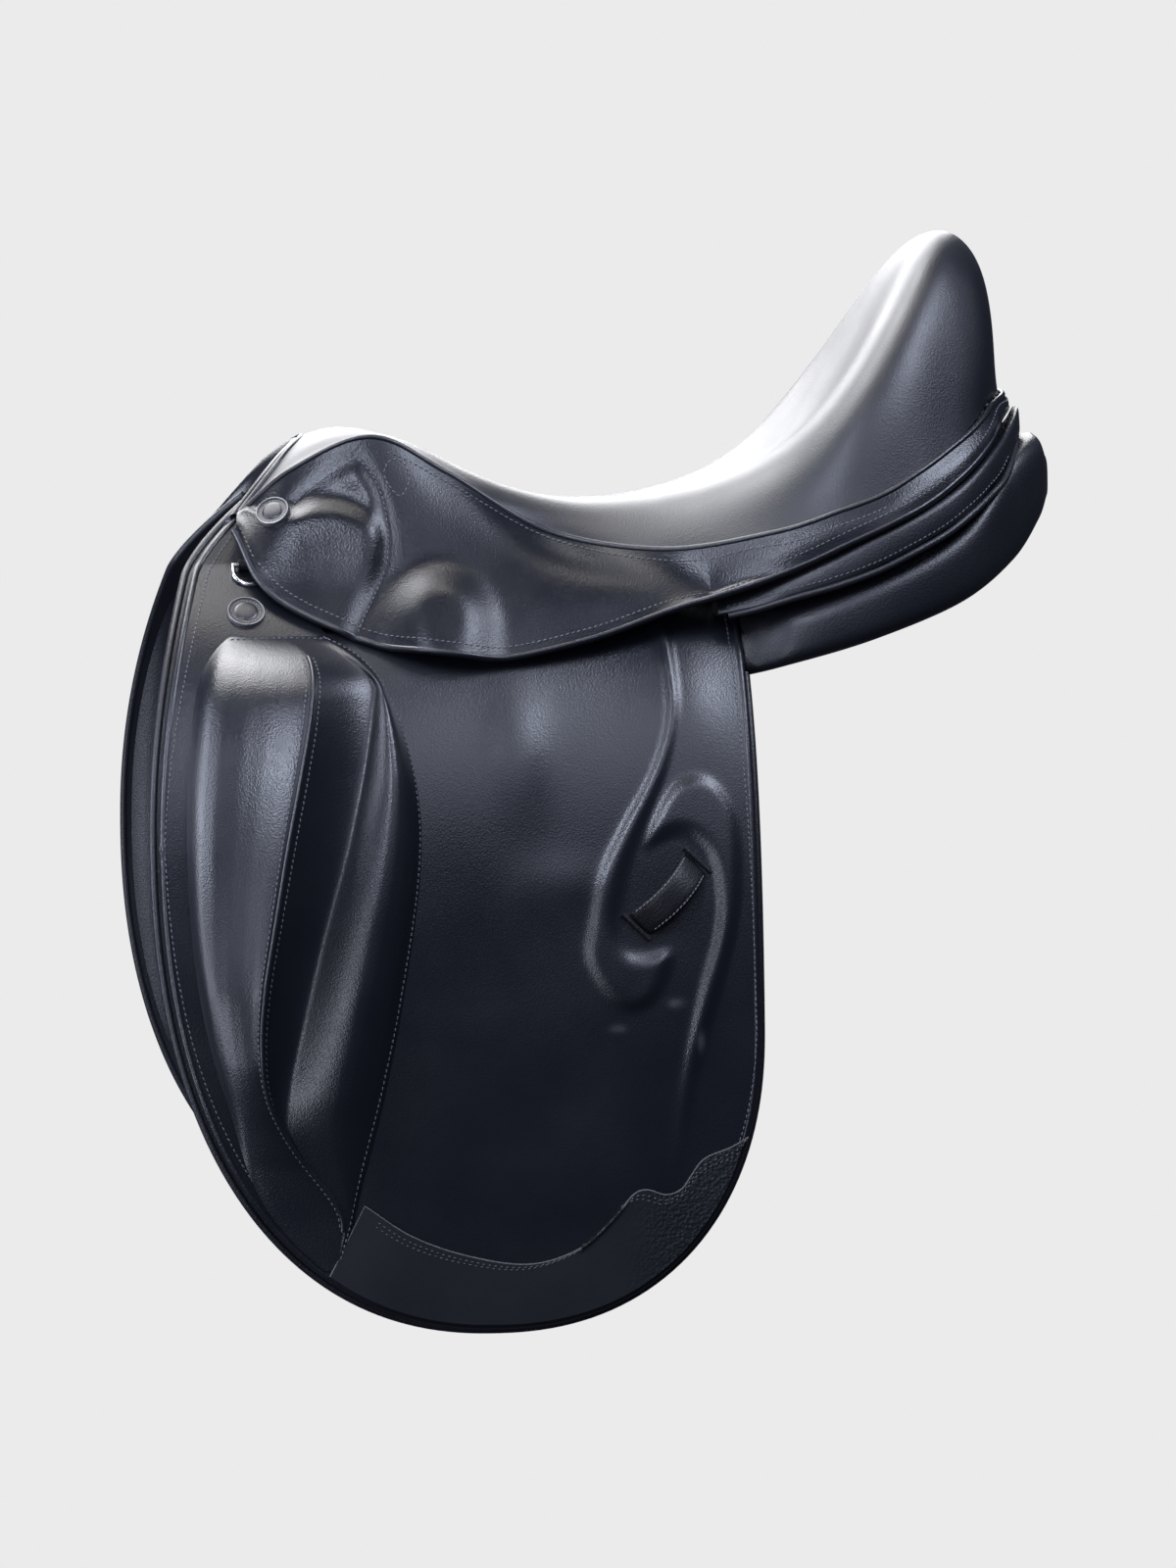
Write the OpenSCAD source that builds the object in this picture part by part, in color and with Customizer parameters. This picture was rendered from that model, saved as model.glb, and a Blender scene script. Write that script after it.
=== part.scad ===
// Dressage saddle on a spring tree, with deep seat, long skirts, straight flaps, outer knee blocks,
// wool panels, girth straps and metal fittings.
// X runs from the pommel (-) to the cantle (+), Y across the saddle and Z up. The origin is on the middle
// plane at the roof of the gullet. Side pieces are drawn on +Y and mirrored for the near side.

/* [Seat] */
// Height of the pommel above the gullet roof
pommel_height = 89; // [82:1:98]
// Height of the cantle above the gullet roof
cantle_height = 202; // [185:1:220]
// Height of the deepest part of the seat
seat_dip = 42; // [38:1:48]
// Width across the welts at the pommel
pommel_width = 140; // [130:1:150]
// Width across the welts at the widest part of the seat
seat_width = 266; // [250:1:280]
// Thickness of the seat leather
seat_leather = 2.5; // [1.5:0.1:3.5]
// Diameter of the piped welt round the seat
welt_d = 4.5; // [3:0.1:6]
// Thickness of the seat webbing
webbing_t = 1.4; // [1:0.1:2]

/* [Tree] */
// Thickness of the tree
tree_t = 10; // [8:0.5:12]
// Width of each tree rail
rail_w = 30; // [24:1:36]
// Distance from the seat welt in to the edge of the tree
tree_inset = 6; // [5:0.5:10]
// Rise of the head of the tree over the withers
head_rise = 40; // [34:1:44]
// Half width of the arch in the head
head_half = 56; // [52:1:58]
// Thickness of the steel gullet plate
plate_t = 4; // [3:0.5:5]
// Width of the points of the gullet plate
point_w = 32; // [26:1:36]
// Depth of the points below the gullet roof
point_depth = 85; // [70:1:95]
// Width of the spring steels
spring_w = 16; // [12:1:20]
// Thickness of the spring steels
spring_t = 2.5; // [2:0.1:3]
// Diameter of the tree rivets
rivet_d = 6; // [4:0.5:7]

/* [Stirrup bars] */
// Front end of each stirrup bar
bar_front = -158; // [-164:1:-152]
// Length of each stirrup bar
bar_length = 64; // [58:1:70]
// Height of the bar section
bar_h = 14; // [12:0.5:16]
// Thickness of the bar section
bar_t = 5; // [4:0.5:6]
// Distance of the bar's inner face from the middle plane
bar_y = 95; // [94:0.5:97]
// Height of the middle of the bar
bar_z = -10; // [-13:0.5:-8]
// Length of the hinged safety catch past its pin
catch_length = 13; // [10:0.5:15]
// Diameter of the catch pin
catch_pin_d = 4; // [3:0.5:5]

/* [Flaps] */
// Foremost point of the flap
flap_front = -268; // [-280:1:-258]
// Rear edge of the flap
flap_rear = 73; // [66:1:80]
// Lowest point of the flap
flap_bottom = -424; // [-440:1:-405]
// Place of the lowest point along the flap
flap_keel = -78; // [-90:1:-66]
// Height at which the front edge starts to curve back
flap_shoulder = -150; // [-170:1:-130]
// Height at which the rear edge starts to curve forward
flap_rear_shoulder = -256; // [-275:1:-240]
// Backward lean of the front edge at the gullet roof
flap_lean = 24; // [16:1:32]
// Distance of a hanging flap from the middle plane
flap_spread = 194; // [188:1:200]
// How far the top of the flap draws in towards the tree
flap_draw = 112; // [108:1:116]
// Height over which the flap draws in
flap_fall = 95; // [90:1:100]
// Thickness of the flap leather
flap_leather = 5; // [4:0.5:6]
// Diameter of the bound edge of the flap
binding_d = 5.2; // [4:0.2:6]
// Thickness of the sewn-on wear patch
patch_leather = 2; // [1.5:0.1:3]
// Thickness of the skirt leather
skirt_leather = 4; // [3:0.5:5]

/* [Knee blocks] */
// Height of the ridge of the block above the flap
block_height = 30; // [20:1:36]
// Top of the block
block_top = -33; // [-36:1:-32]
// Bottom of the padding of the block
block_bottom = -312; // [-320:1:-300]
// Length of the flat tail of the cover below the padding
block_tail = 32; // [24:1:36]
// Thickness of the block's leather cover
block_leather = 2.2; // [1.5:0.1:3]

/* [Girth straps] */
// Width of a girth strap
strap_w = 25; // [22:0.5:28]
// Thickness of a girth strap
strap_t = 4; // [3.5:0.1:4.5]
// Diameter of the punched holes
strap_hole_d = 5; // [4:0.2:6]
// Distance between punched holes
strap_pitch = 25; // [22:0.5:28]
// Number of punched holes
strap_holes = 8; // [5:1:10]
// Lowest point of the straps
strap_bottom = -392; // [-398:1:-380]
// Middle of the front strap
front_strap = -62; // [-66:1:-58]
// Middle of the rear strap
rear_strap = 8; // [4:1:14]
// Thickness of the sweat flap
sweat_leather = 4; // [3:0.5:5]

/* [Panels] */
// Half width of the gullet between the panels
gullet_half = 36; // [32:1:40]
// Thickness of the padded front of the panel
pad_thick = 20; // [14:1:26]
// Thickness of the gullet lining
lining_t = 1.4; // [1:0.1:1.6]

/* [Fittings] */
// Diameter of the round badges
badge_d = 21; // [18:0.5:24]
// Thickness of the round badges
badge_t = 2.6; // [2:0.1:4]
// Wire diameter of the dees
dee_wire = 2.8; // [2.4:0.1:3.2]
// Width of the dees
dee_w = 22; // [20:0.5:24]
// Length of the stirrup leather keeper
keeper_length = 50; // [44:1:56]
// Width of the stirrup leather keeper
keeper_w = 17; // [14:0.5:20]
// Thickness of the keeper leather
keeper_t = 3; // [2:0.5:4]
// Room under the keeper for the stirrup leather
keeper_gap = 7; // [5:0.5:9]

/* [Clearances] */
// Gap between pieces that lie against each other
seat_gap = 0.4; // [0.3:0.1:0.6]
// Room on each side of a strap, plate or point under the flap
layer_gap = 1.5; // [1.2:0.1:2]
// Radial clearance of a catch on its pin
pin_gap = 0.05; // [0.03:0.01:0.1]

/* [Hidden] */
$fn = 48;
LEFT = -1;
RIGHT = 1;
half_pommel = pommel_width / 2;
half_seat = seat_width / 2;
leather_black = [0.06, 0.06, 0.07];
leather_soft = [0.10, 0.10, 0.11];
steel = [0.72, 0.73, 0.75];
span = 640;

// Curves and closed skins
function clamp(value) = min(max(value, 0), 1);
function smooth(value) = let (t = clamp(value)) t * t * (3 - 2 * t);
function unit(v) = v / norm(v);
function mix(a, b, t) = a + (b - a) * t;

// Smooth curve through a list of points, read at a running place from 0 to the last index
function curve(list, place) =
    let (last = len(list) - 1, i = min(floor(place), last - 1), t = place - i,
         b = list[i], c = list[i + 1],
         a = i > 0 ? list[i - 1] : 2 * b - c,
         d = i + 2 <= last ? list[i + 2] : 2 * c - b)
    0.5 * (2 * b + (c - a) * t + (2 * a - 5 * b + 4 * c - d) * t * t + (3 * b - a - 3 * c + d) * t * t * t);

function hermite(a, b, leave, arrive, t) =
    let (t2 = t * t, t3 = t2 * t)
    (2 * t3 - 3 * t2 + 1) * a + (t3 - 2 * t2 + t) * leave + (3 * t2 - 2 * t3) * b + (t3 - t2) * arrive;

// Normal of a grid; a point on the rim takes the normal of its neighbour inside
function grid_normal(grid, i, j) =
    let (a = min(max(i, 1), len(grid) - 2), b = min(max(j, 1), len(grid[0]) - 2))
    unit(cross(grid[a + 1][b] - grid[a - 1][b], grid[a][b + 1] - grid[a][b - 1]));

function sunk(grid, depth) =
    [for (i = [0 : len(grid) - 1]) [for (j = [0 : len(grid[0]) - 1]) grid[i][j] - depth * grid_normal(grid, i, j)]];

function joined(lists) = [for (list = lists) each list];

// Closed solid between an outer and an inner grid of points
module skin(outer, inner) {
    rows = len(outer);
    cols = len(outer[0]);
    size = rows * cols;
    corners = [for (i = [0 : rows - 2]) for (j = [0 : cols - 2]) i * cols + j];
    faces = concat(
        [for (k = corners) each [[k, k + 1, k + cols + 1], [k, k + cols + 1, k + cols]]],
        [for (c = corners) let (k = size + c) each [[k, k + cols + 1, k + 1], [k, k + cols, k + cols + 1]]],
        [for (j = [0 : cols - 2]) let (a = j, c = (rows - 1) * cols + j)
            each [[a + 1, a, size + a], [a + 1, size + a, size + a + 1],
                  [c, c + 1, size + c + 1], [c, size + c + 1, size + c]]],
        [for (i = [0 : rows - 2]) let (a = i * cols, d = a + cols - 1)
            each [[a, a + cols, size + a + cols], [a, size + a + cols, size + a],
                  [d + cols, d, size + d], [d + cols, size + d, size + d + cols]]]);
    polyhedron(joined(concat(outer, inner)), faces);
}

// Round bead along a path, with its section turned to a fixed reference direction
module bead(path, radius, sides, reference) {
    last = len(path) - 1;
    points = [for (k = [0 : last])
        let (along = unit(path[min(k + 1, last)] - path[max(k - 1, 0)]),
             first = unit(cross(along, reference)), second = cross(along, first))
        for (s = [0 : sides - 1])
            path[k] + radius * (cos(360 * s / sides) * first + sin(360 * s / sides) * second)];
    walls = [for (k = [0 : last - 1]) for (s = [0 : sides - 1])
        let (a = k * sides + s, b = k * sides + (s + 1) % sides)
        each [[a, a + sides, b + sides], [a, b + sides, b]]];
    caps = [[for (s = [0 : sides - 1]) s], [for (s = [sides - 1 : -1 : 0]) last * sides + s]];
    polyhedron(points, concat(walls, caps));
}

module on_side(side) {
    if (side == RIGHT) children();
    else mirror([0, 1, 0]) children();
}

// Seat surface: a spine on the middle plane, a crest beside it and the welted edge
seat_spine = [
    [-172, 0, pommel_height - 7], [-150, 0, pommel_height], [-116, 0, pommel_height - 9],
    [-82, 0, seat_dip + 18], [-30, 0, seat_dip], [30, 0, seat_dip], [85, 0, seat_dip + 4],
    [130, 0, seat_dip + 20], [168, 0, seat_dip + 58], [196, 0, cantle_height - 40],
    [219, 0, cantle_height], [238, 0, cantle_height - 28], [243, 0, cantle_height - 62],
    [246, 0, cantle_height - 93]];
seat_crest = [
    [-186, half_pommel - 32, pommel_height - 19], [-160, half_pommel - 30, pommel_height - 5],
    [-122, half_pommel - 27, pommel_height - 7], [-85, half_pommel - 26, seat_dip + 19],
    [-30, half_pommel - 20, seat_dip + 2], [32, half_seat - 67, seat_dip + 5],
    [88, half_seat - 47, seat_dip + 29], [122, half_seat - 35, seat_dip + 62],
    [148, half_seat - 37, seat_dip + 98], [178, half_seat - 56, cantle_height - 24],
    [205, half_seat - 82, cantle_height - 8], [229, half_seat - 82, cantle_height - 36],
    [236, half_seat - 80, cantle_height - 68], [240, half_seat - 80, cantle_height - 95]];
seat_edge = [
    [-213, half_pommel - 10, pommel_height - 51], [-182, half_pommel - 4, pommel_height - 25],
    [-138, half_pommel, pommel_height - 7], [-95, half_pommel + 2, seat_dip + 20],
    [-36, half_pommel + 10, seat_dip - 14], [30, half_seat - 28, seat_dip - 25],
    [92, half_seat - 7, seat_dip - 15], [128, half_seat - 1, seat_dip - 3],
    [154, half_seat - 2, seat_dip + 7], [176, half_seat - 8, seat_dip + 20],
    [194, half_seat - 17, seat_dip + 32], [208, half_seat - 26, seat_dip + 42],
    [218, half_seat - 36, seat_dip + 51], [226, half_seat - 49, seat_dip + 59]];
seat_rows = len(seat_spine) - 1;
row_steps = 2;
seat_cols = 7;

function seat_half(u, v) =
    let (s = curve(seat_spine, u), k = curve(seat_crest, u), e = curve(seat_edge, u), turn = (e - s) / 2)
    v < 0.5 ? hermite(s, k, [0, k[1], 0], turn, 2 * v) : hermite(k, e, turn, e - k, 2 * v - 1);
function seat_point(u, v) =
    let (p = seat_half(u, abs(v))) [p[0], sign(v) * p[1], p[2]];
seat_grid = [for (i = [0 : seat_rows * row_steps])
    [for (j = [-seat_cols : seat_cols]) seat_point(i / row_steps, j / seat_cols)]];

// Underside of the seat: the line that the tree, the springs and the panels share
front_rise = 20;
front_reach = 215;
rear_rise = 85;
rear_reach = 240;
under_gap = 2;
function under_z(x) = x < 0 ? front_rise * pow(x / front_reach, 2) : rear_rise * pow(x / rear_reach, 2);
function arch_z(x, y) =
    head_rise * smooth((-90 - x) / 80) * max(0, 1 - pow(y / head_half, 2));
function tree_z(x, y) = under_z(x) + under_gap + tree_t + arch_z(x, y);

// Place on the tree between the spine and the inset edge
function tree_edge(u, inset) =
    let (s = curve(seat_spine, u), e = curve(seat_edge, u), across = [e[0] - s[0], e[1], 0])
    [e[0], e[1], 0] - inset * unit(across);
function tree_point(u, v, lift) =
    let (s = curve(seat_spine, u), e = tree_edge(u, tree_inset), p = mix([s[0], 0, 0], e, abs(v)),
         y = sign(v) * p[1])
    [p[0], y, tree_z(p[0], y) + lift];

tree_first = 0.5;
tree_last = 12.5;
tree_rows = 24;
tree_cols = 6;
function tree_grid(lift) = [for (i = [0 : tree_rows])
    [for (j = [-tree_cols : tree_cols])
        tree_point(mix(tree_first, tree_last, i / tree_rows), j / tree_cols, lift)]];

// Opening between the rails
open_first = 3.2;
open_last = 8.8;
open_steps = 11;
function rail_inside(u) = let (e = tree_edge(u, tree_inset + rail_w)) [e[0], e[1]];
rail_line = [for (k = [0 : open_steps]) rail_inside(mix(open_first, open_last, k / open_steps))];

gullet_rivet_xs = [-155, -143];
spring_first = 3.2;
spring_last = 9.6;
spring_steps = 14;
spring_inset = tree_inset + rail_w / 2 - spring_w / 2;
spring_rivet_us = [3.5, 9.3];
function spring_line(u, across) = tree_edge(u, spring_inset + spring_w * across);

module spring_rivet_bodies(radius, low, high) {
    for (side = [LEFT, RIGHT]) on_side(side)
        for (u = spring_rivet_us) {
            p = spring_line(u, 0.5);
            z = tree_z(p[0], p[1]);
            translate([p[0], p[1], z - low]) cylinder(h = low + high, r = radius);
        }
}

module gullet_rivet_bodies(radius, low, high) {
    for (x = gullet_rivet_xs)
        translate([x, 0, tree_z(x, 0) - low]) cylinder(h = low + high, r = radius);
}

// Beech and steel tree: head, two rails and cantle round an open middle
module tree_frame() {
    color("burlywood") difference() {
        skin(tree_grid(0), tree_grid(-tree_t));
        translate([0, 0, -span / 2]) linear_extrude(span)
            polygon(concat(rail_line, [for (k = [open_steps : -1 : 0]) [rail_line[k][0], -rail_line[k][1]]]));
        spring_rivet_bodies(rivet_d / 2 + seat_gap / 4, 2 * tree_t, 2 * tree_t);
        gullet_rivet_bodies(rivet_d / 2 + seat_gap / 4, 2 * tree_t, 2 * tree_t);
    }
}

// Steel arch under the head, with a point down each side
plate_rows = 2;
corner_t = 3 * plate_t;
corner_in = 20;
function plate_grid(drop) = [for (i = [0 : plate_rows])
    [for (j = [-tree_cols : tree_cols])
        tree_point(mix(tree_first, tree_last, i / tree_rows), j / tree_cols, -tree_t - seat_gap - drop)]];

module gullet_plate() {
    color(steel) difference() {
        union() {
            skin(plate_grid(0), plate_grid(plate_t));
            for (side = [LEFT, RIGHT]) on_side(side) intersection() {
                hang_sheet(-point_out - plate_t, -point_out, -point_depth, point_top);
                outline_block() point_shape();
            }
            for (side = [LEFT, RIGHT]) on_side(side) intersection() {
                skin(plate_grid(plate_t / 2), plate_grid(corner_t));
                translate([point_front + point_w * 0.55, half_pommel - corner_in, -span / 2])
                    cube([point_w * 0.4, corner_in / 2, span]);
            }
        }
        gullet_rivet_bodies(rivet_d / 2 + seat_gap / 4, 3 * tree_t, 3 * tree_t);
    }
}

point_out = 3 * layer_gap;
point_front = -204;
point_top = under_z(point_front + point_w / 2) + under_gap - seat_gap - plate_t / 5;
module point_shape() {
    tip_r = point_w / 2;
    translate([point_front, -point_depth + tip_r]) square([point_w, point_depth - tip_r + point_top]);
    translate([point_front + tip_r, -point_depth + tip_r]) circle(tip_r);
}

module gullet_rivets() {
    color(steel) gullet_rivet_bodies(rivet_d / 2, tree_t + plate_t + 2, -1);
}

// Tempered steels that let the rails flex
module springs() {
    function line(lift) = [for (k = [0 : spring_steps]) [for (across = [1, 0])
        let (p = spring_line(mix(spring_first, spring_last, k / spring_steps), across))
        [p[0], p[1], tree_z(p[0], p[1]) - tree_t - seat_gap - lift]]];
    color(steel) for (side = [LEFT, RIGHT]) on_side(side) difference() {
        skin(line(0), line(spring_t));
        for (u = spring_rivet_us) {
            p = spring_line(u, 0.5);
            translate([p[0], p[1], -span / 2]) cylinder(h = span, r = rivet_d / 2 + seat_gap / 4);
        }
    }
}

module spring_rivets() {
    color(steel) spring_rivet_bodies(rivet_d / 2, tree_t + spring_t + seat_gap + 0.6, -0.6);
}

// Hanging surface that the flap, the straps and the sweat flap share
hang_stations = concat([for (z = [30 : -10 : -100]) z], [for (z = [-120 : -20 : -460]) z]);
hang_table = [for (z = hang_stations) [z, flap_spread - flap_draw * exp(z / flap_fall)]];
function hang_y(z) = lookup(z, hang_table);

module hang_sheet(inner, outer, low, high) {
    stations = concat([high], [for (z = hang_stations) if (z < high && z > low) z], [low]);
    back = [for (k = [len(stations) - 1 : -1 : 0]) stations[k]];
    translate([-span / 2, 0, 0]) rotate([90, 0, 90]) linear_extrude(span)
        polygon(concat([for (z = stations) [hang_y(z) + outer, z]], [for (z = back) [hang_y(z) + inner, z]]));
}

// Block with an outline in the XZ plane, running through the whole side
module outline_block() {
    rotate([90, 0, 0]) linear_extrude(span, center = true) children();
}

// Outline of flap and sweat flap: leaning front, two round lower corners and a straight rear edge
corner_round = 2.25;
corner_power = 2 / corner_round;
corner_steps = 14;
edge_steps = 8;
function front_x(z) = flap_front + flap_lean * pow(max(0, z - flap_shoulder) / -flap_shoulder, 2);
function flap_edge(grow, top_front, top_rear) = concat(
    [for (k = [0 : edge_steps - 1]) let (z = mix(top_front, flap_shoulder, k / edge_steps)) [front_x(z) - grow, z]],
    [for (k = [0 : corner_steps]) let (a = 90 * k / corner_steps)
        [flap_keel - (flap_keel - flap_front + grow) * pow(cos(a), corner_power),
         flap_shoulder - (flap_shoulder - flap_bottom + grow) * pow(sin(a), corner_power)]],
    [for (k = [corner_steps - 1 : -1 : 0]) let (a = 90 * k / corner_steps)
        [flap_keel + (flap_rear - flap_keel + grow) * pow(cos(a), corner_power),
         flap_rear_shoulder - (flap_rear_shoulder - flap_bottom + grow) * pow(sin(a), corner_power)]],
    [for (k = [1 : edge_steps]) [flap_rear + grow, mix(flap_rear_shoulder, top_rear, k / edge_steps)]]);

// The flap and the skirt fold on one straight line, from the head to the waist of the skirt
fold_start = [-225, 92, 12];
fold_end = [60, 128, -8];
fold_way = fold_end - fold_start;
function fold_point(x) = fold_start + fold_way * (x - fold_start[0]) / fold_way[0];

// Top edge of the part of the flap that lifts
lift_front = -8;
lift_rear = -29;
edge_inset = binding_d + seat_gap;
notch_front = bar_front - 12;
notch_rear = bar_front + bar_length + 24;
notch_depth = bar_z - bar_h / 2 - 14;

module bar_notch() {
    translate([notch_front, notch_depth]) square([notch_rear - notch_front, span]);
}

module flap(side) {
    color(leather_black) on_side(side) difference() {
        intersection() {
            hang_sheet(0, flap_leather, flap_bottom, lift_front);
            outline_block() difference() {
                polygon(flap_edge(-edge_inset, lift_front, lift_rear));
                bar_notch();
            }
        }
        keeper_slits();
    }
}

// Upper part of the flap, nailed to the tree under the skirt
head_top = 15;
head_rear_top = -2.5;
module flap_head(side) {
    line_gap = 1;
    front_end = notch_front;
    line_slope = (lift_rear - lift_front) / (flap_rear - front_x(lift_front));
    function line_z(x) = lift_front + line_slope * (x - front_x(lift_front)) + line_gap;
    color(leather_black) on_side(side) intersection() {
        hang_sheet(0, flap_leather, lift_rear, head_top);
        outline_block() {
            polygon([[front_x(head_top) + edge_inset, head_top], [front_end, head_top],
                     [front_end, line_z(front_end)], [front_x(lift_front) + edge_inset, line_z(front_x(lift_front))]]);
            polygon([[notch_rear, head_rear_top], [flap_rear - edge_inset, head_rear_top],
                     [flap_rear - edge_inset, line_z(flap_rear)], [notch_rear, line_z(notch_rear)]]);
        }
    }
}

// Rolled leather binding round the free edge of the flap
module flap_binding(side) {
    path = flap_edge(-binding_d / 2, lift_front, lift_rear);
    color(leather_black) on_side(side)
        bead([for (p = path) [p[0], hang_y(p[1]) + flap_leather / 2, p[1]]], binding_d / 2, 6, [0, 1, 0]);
}

// Grained wear patch sewn along the lower edge of the flap
patch_inset = 1.5;
patch_crest = [[-77, 72], [-50, 54], [-17, 42], [17, 37], [45, 45], [64, 61], [76, 75], [84, 78],
               [101, 75], [110, 83], [115, 93], [121, 97], [132, 101], [150, 110]];
patch_steps = 26;
module flap_patch(side) {
    crest = [for (k = [0 : patch_steps])
        [flap_keel, flap_bottom] + curve(patch_crest, (len(patch_crest) - 1) * k / patch_steps)];
    color(leather_soft) on_side(side) intersection() {
        hang_sheet(flap_leather + seat_gap, flap_leather + seat_gap + patch_leather, flap_bottom, 0);
        outline_block() intersection() {
            polygon(flap_edge(-edge_inset - patch_inset, lift_front, lift_rear));
            polygon(concat(crest, [[flap_rear + 40, flap_bottom - 40], [flap_keel - 130, flap_bottom - 40]]));
        }
    }
}

// Knee block: a foam wedge with a long ridge, a hollow behind it and a stitched leather cover
block_end = block_bottom - block_tail;
block_stations = concat([block_top], [for (z = hang_stations) if (z < block_top && z > block_end) z], [block_end]);
block_ridge = [[-345, 92], [-325, 77], [-310, 66], [-290, 58], [-250, 53], [-195, 61], [-150, 69], [-80, 84],
               [-40, 88]];
block_hollow = [[-345, 100], [-325, 84], [-310, 70], [-283, 73], [-245, 79], [-201, 90], [-152, 105],
                [-109, 116], [-58, 126], [-30, 104]];
block_seam = [[-345, 111], [-312, 118], [-250, 132], [-200, 141], [-140, 148], [-85, 140], [-55, 127],
              [-30, 106]];
block_rise = [0.04, 0.40, 0.68, 0.86, 0.96, 1.0, 0.72, 0.42, 0.30, 0.24, 0.03];
block_margin = 17;
ridge_col = 5;
hollow_col = 8;
seam_col = 10;
function block_swell(z) =
    (1 - pow(1 - clamp((block_top - z) / 70), 2.2)) * pow(clamp((z - block_bottom) / 120), 0.9);
function block_x(z, j) =
    let (front = front_curve(z) + block_margin, ridge = max(front + 1, flap_front + lookup(z, block_ridge)),
         hollow = max(ridge + 1, flap_front + lookup(z, block_hollow)),
         seam = max(hollow + 2, flap_front + lookup(z, block_seam)))
    j <= ridge_col ? mix(front, ridge, j / ridge_col)
    : j <= hollow_col ? mix(ridge, hollow, (j - ridge_col) / (hollow_col - ridge_col))
    : mix(hollow, seam, (j - hollow_col) / (seam_col - hollow_col));
function front_curve(z) = z > flap_shoulder ? front_x(z)
    : let (drop = (flap_shoulder - z) / (flap_shoulder - flap_bottom))
      flap_keel - (flap_keel - flap_front) * pow(1 - pow(drop, corner_round), 1 / corner_round);
function block_point(z, j, out) =
    [block_x(z, j), hang_y(z) + flap_leather + seat_gap + out, z];
function block_relief(z, j) = block_height * block_swell(z) * block_rise[j];

module knee_cover(side) {
    function layer(lift) = [for (j = [0 : seam_col])
        [for (z = block_stations) block_point(z, j, block_relief(z, j) + lift)]];
    color(leather_black) on_side(side) skin(layer(block_leather), layer(0));
}

module knee_core(side) {
    rows = [for (z = block_stations) if (z < block_top - 12 && z > block_bottom + 12) z];
    function top(z, j) = max(block_relief(z, j) - 2 * seat_gap, seat_gap);
    color("dimgray") on_side(side)
        skin([for (j = [1 : seam_col - 1]) [for (z = rows) block_point(z, j, top(z, j))]],
             [for (j = [1 : seam_col - 1]) [for (z = rows) block_point(z, j, 0)]]);
}

// Leather loop that holds the end of the stirrup leather
keeper_x = 20;
keeper_z = -178;
keeper_turn = 46;
keeper_foot = 7;
slit_gap = 0.3;
module keeper_frame() {
    translate([keeper_x, hang_y(keeper_z) + flap_leather, keeper_z])
        rotate([atan((hang_y(keeper_z - 20) - hang_y(keeper_z + 20)) / 40), 0, 0])
            rotate([0, -keeper_turn, 0]) children();
}
module keeper(side) {
    rise = keeper_gap + keeper_t;
    half = keeper_length / 2;
    bend = (half * half + rise * rise) / (2 * rise);
    color(leather_black) on_side(side) keeper_frame() translate([0, 0, -keeper_w / 2])
        linear_extrude(keeper_w) difference() {
            intersection() {
                translate([0, rise - bend]) circle(bend, $fn = 160);
                translate([-span / 2, seat_gap + 0.3]) square(span);
            }
            translate([0, rise - bend]) circle(bend - keeper_t, $fn = 160);
        }
}
module keeper_slits() {
    keeper_frame() for (end = [-1, 1])
        translate([end * (keeper_length / 2 - keeper_foot / 2), 0, 0])
            cube([keeper_t + slit_gap, 4 * flap_leather, keeper_w + slit_gap], center = true);
}

// Round badges with a raised rim
module badge(radius) {
    rotate([-90, 0, 0]) rotate_extrude()
        polygon([[0, 0], [radius, 0], [radius, badge_t * 0.7], [radius - 0.8, badge_t], [radius - 2, badge_t],
                 [radius - 2.6, badge_t * 0.6], [0, badge_t * 0.8]]);
}
flap_badge_x = -214;
flap_badge_z = -21.5;
module flap_badge(side) {
    slope = atan((hang_y(flap_badge_z - 10) - hang_y(flap_badge_z + 10)) / 20);
    color(steel) on_side(side) translate([flap_badge_x, hang_y(flap_badge_z) + flap_leather, flap_badge_z])
        rotate([slope, 0, 0]) translate([0, seat_gap + 0.3, 0]) badge(badge_d / 2);
}

// Line of the welt: along the side of the seat and on round the back of the cantle
rear_stations = 2;
line_end = seat_rows + rear_stations;
function edge_place(s) = s <= seat_rows ? [s, 1] : [seat_rows, 1 - (s - seat_rows) / rear_stations];
function edge_at(s) = let (p = edge_place(s)) seat_point(p[0], p[1]);
function edge_out(s) =
    let (way = edge_at(min(s + 0.1, line_end)) - edge_at(max(s - 0.1, 0))) unit([-way[1], way[0], 0]);
function welt_at(s) = edge_at(s) + edge_out(s) * (welt_d / 2 + seat_gap) - [0, 0, welt_d / 4];
function skirt_top(s) = edge_at(s) + edge_out(s) * (welt_d + seat_gap) - [0, 0, welt_d * 0.75 + 2 * seat_gap];

module seat_welt() {
    steps = 40;
    side_path = [for (k = [0 : steps]) welt_at(line_end * k / steps)];
    far_path = [for (k = [steps - 1 : -1 : 0]) let (p = side_path[k]) [p[0], -p[1], p[2]]];
    color(leather_black) bead(concat(side_path, far_path), welt_d / 2, 6, [0, 0, 1]);
}

module seat_cover() {
    color(leather_black) skin(seat_grid, sunk(seat_grid, seat_leather));
}

// Foam between the webbing and the leather
foam_edge = 1.2;
foam_gap = 1.2;
module seat_foam() {
    top = sunk(seat_grid, seat_leather + seat_gap);
    lift = webbing_t + seat_gap + foam_gap;
    base = [for (row = top) [for (p = row) [p[0], p[1], min(tree_z(p[0], p[1]) + lift, p[2] - foam_edge)]]];
    color("khaki") skin(top, base);
}

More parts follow.
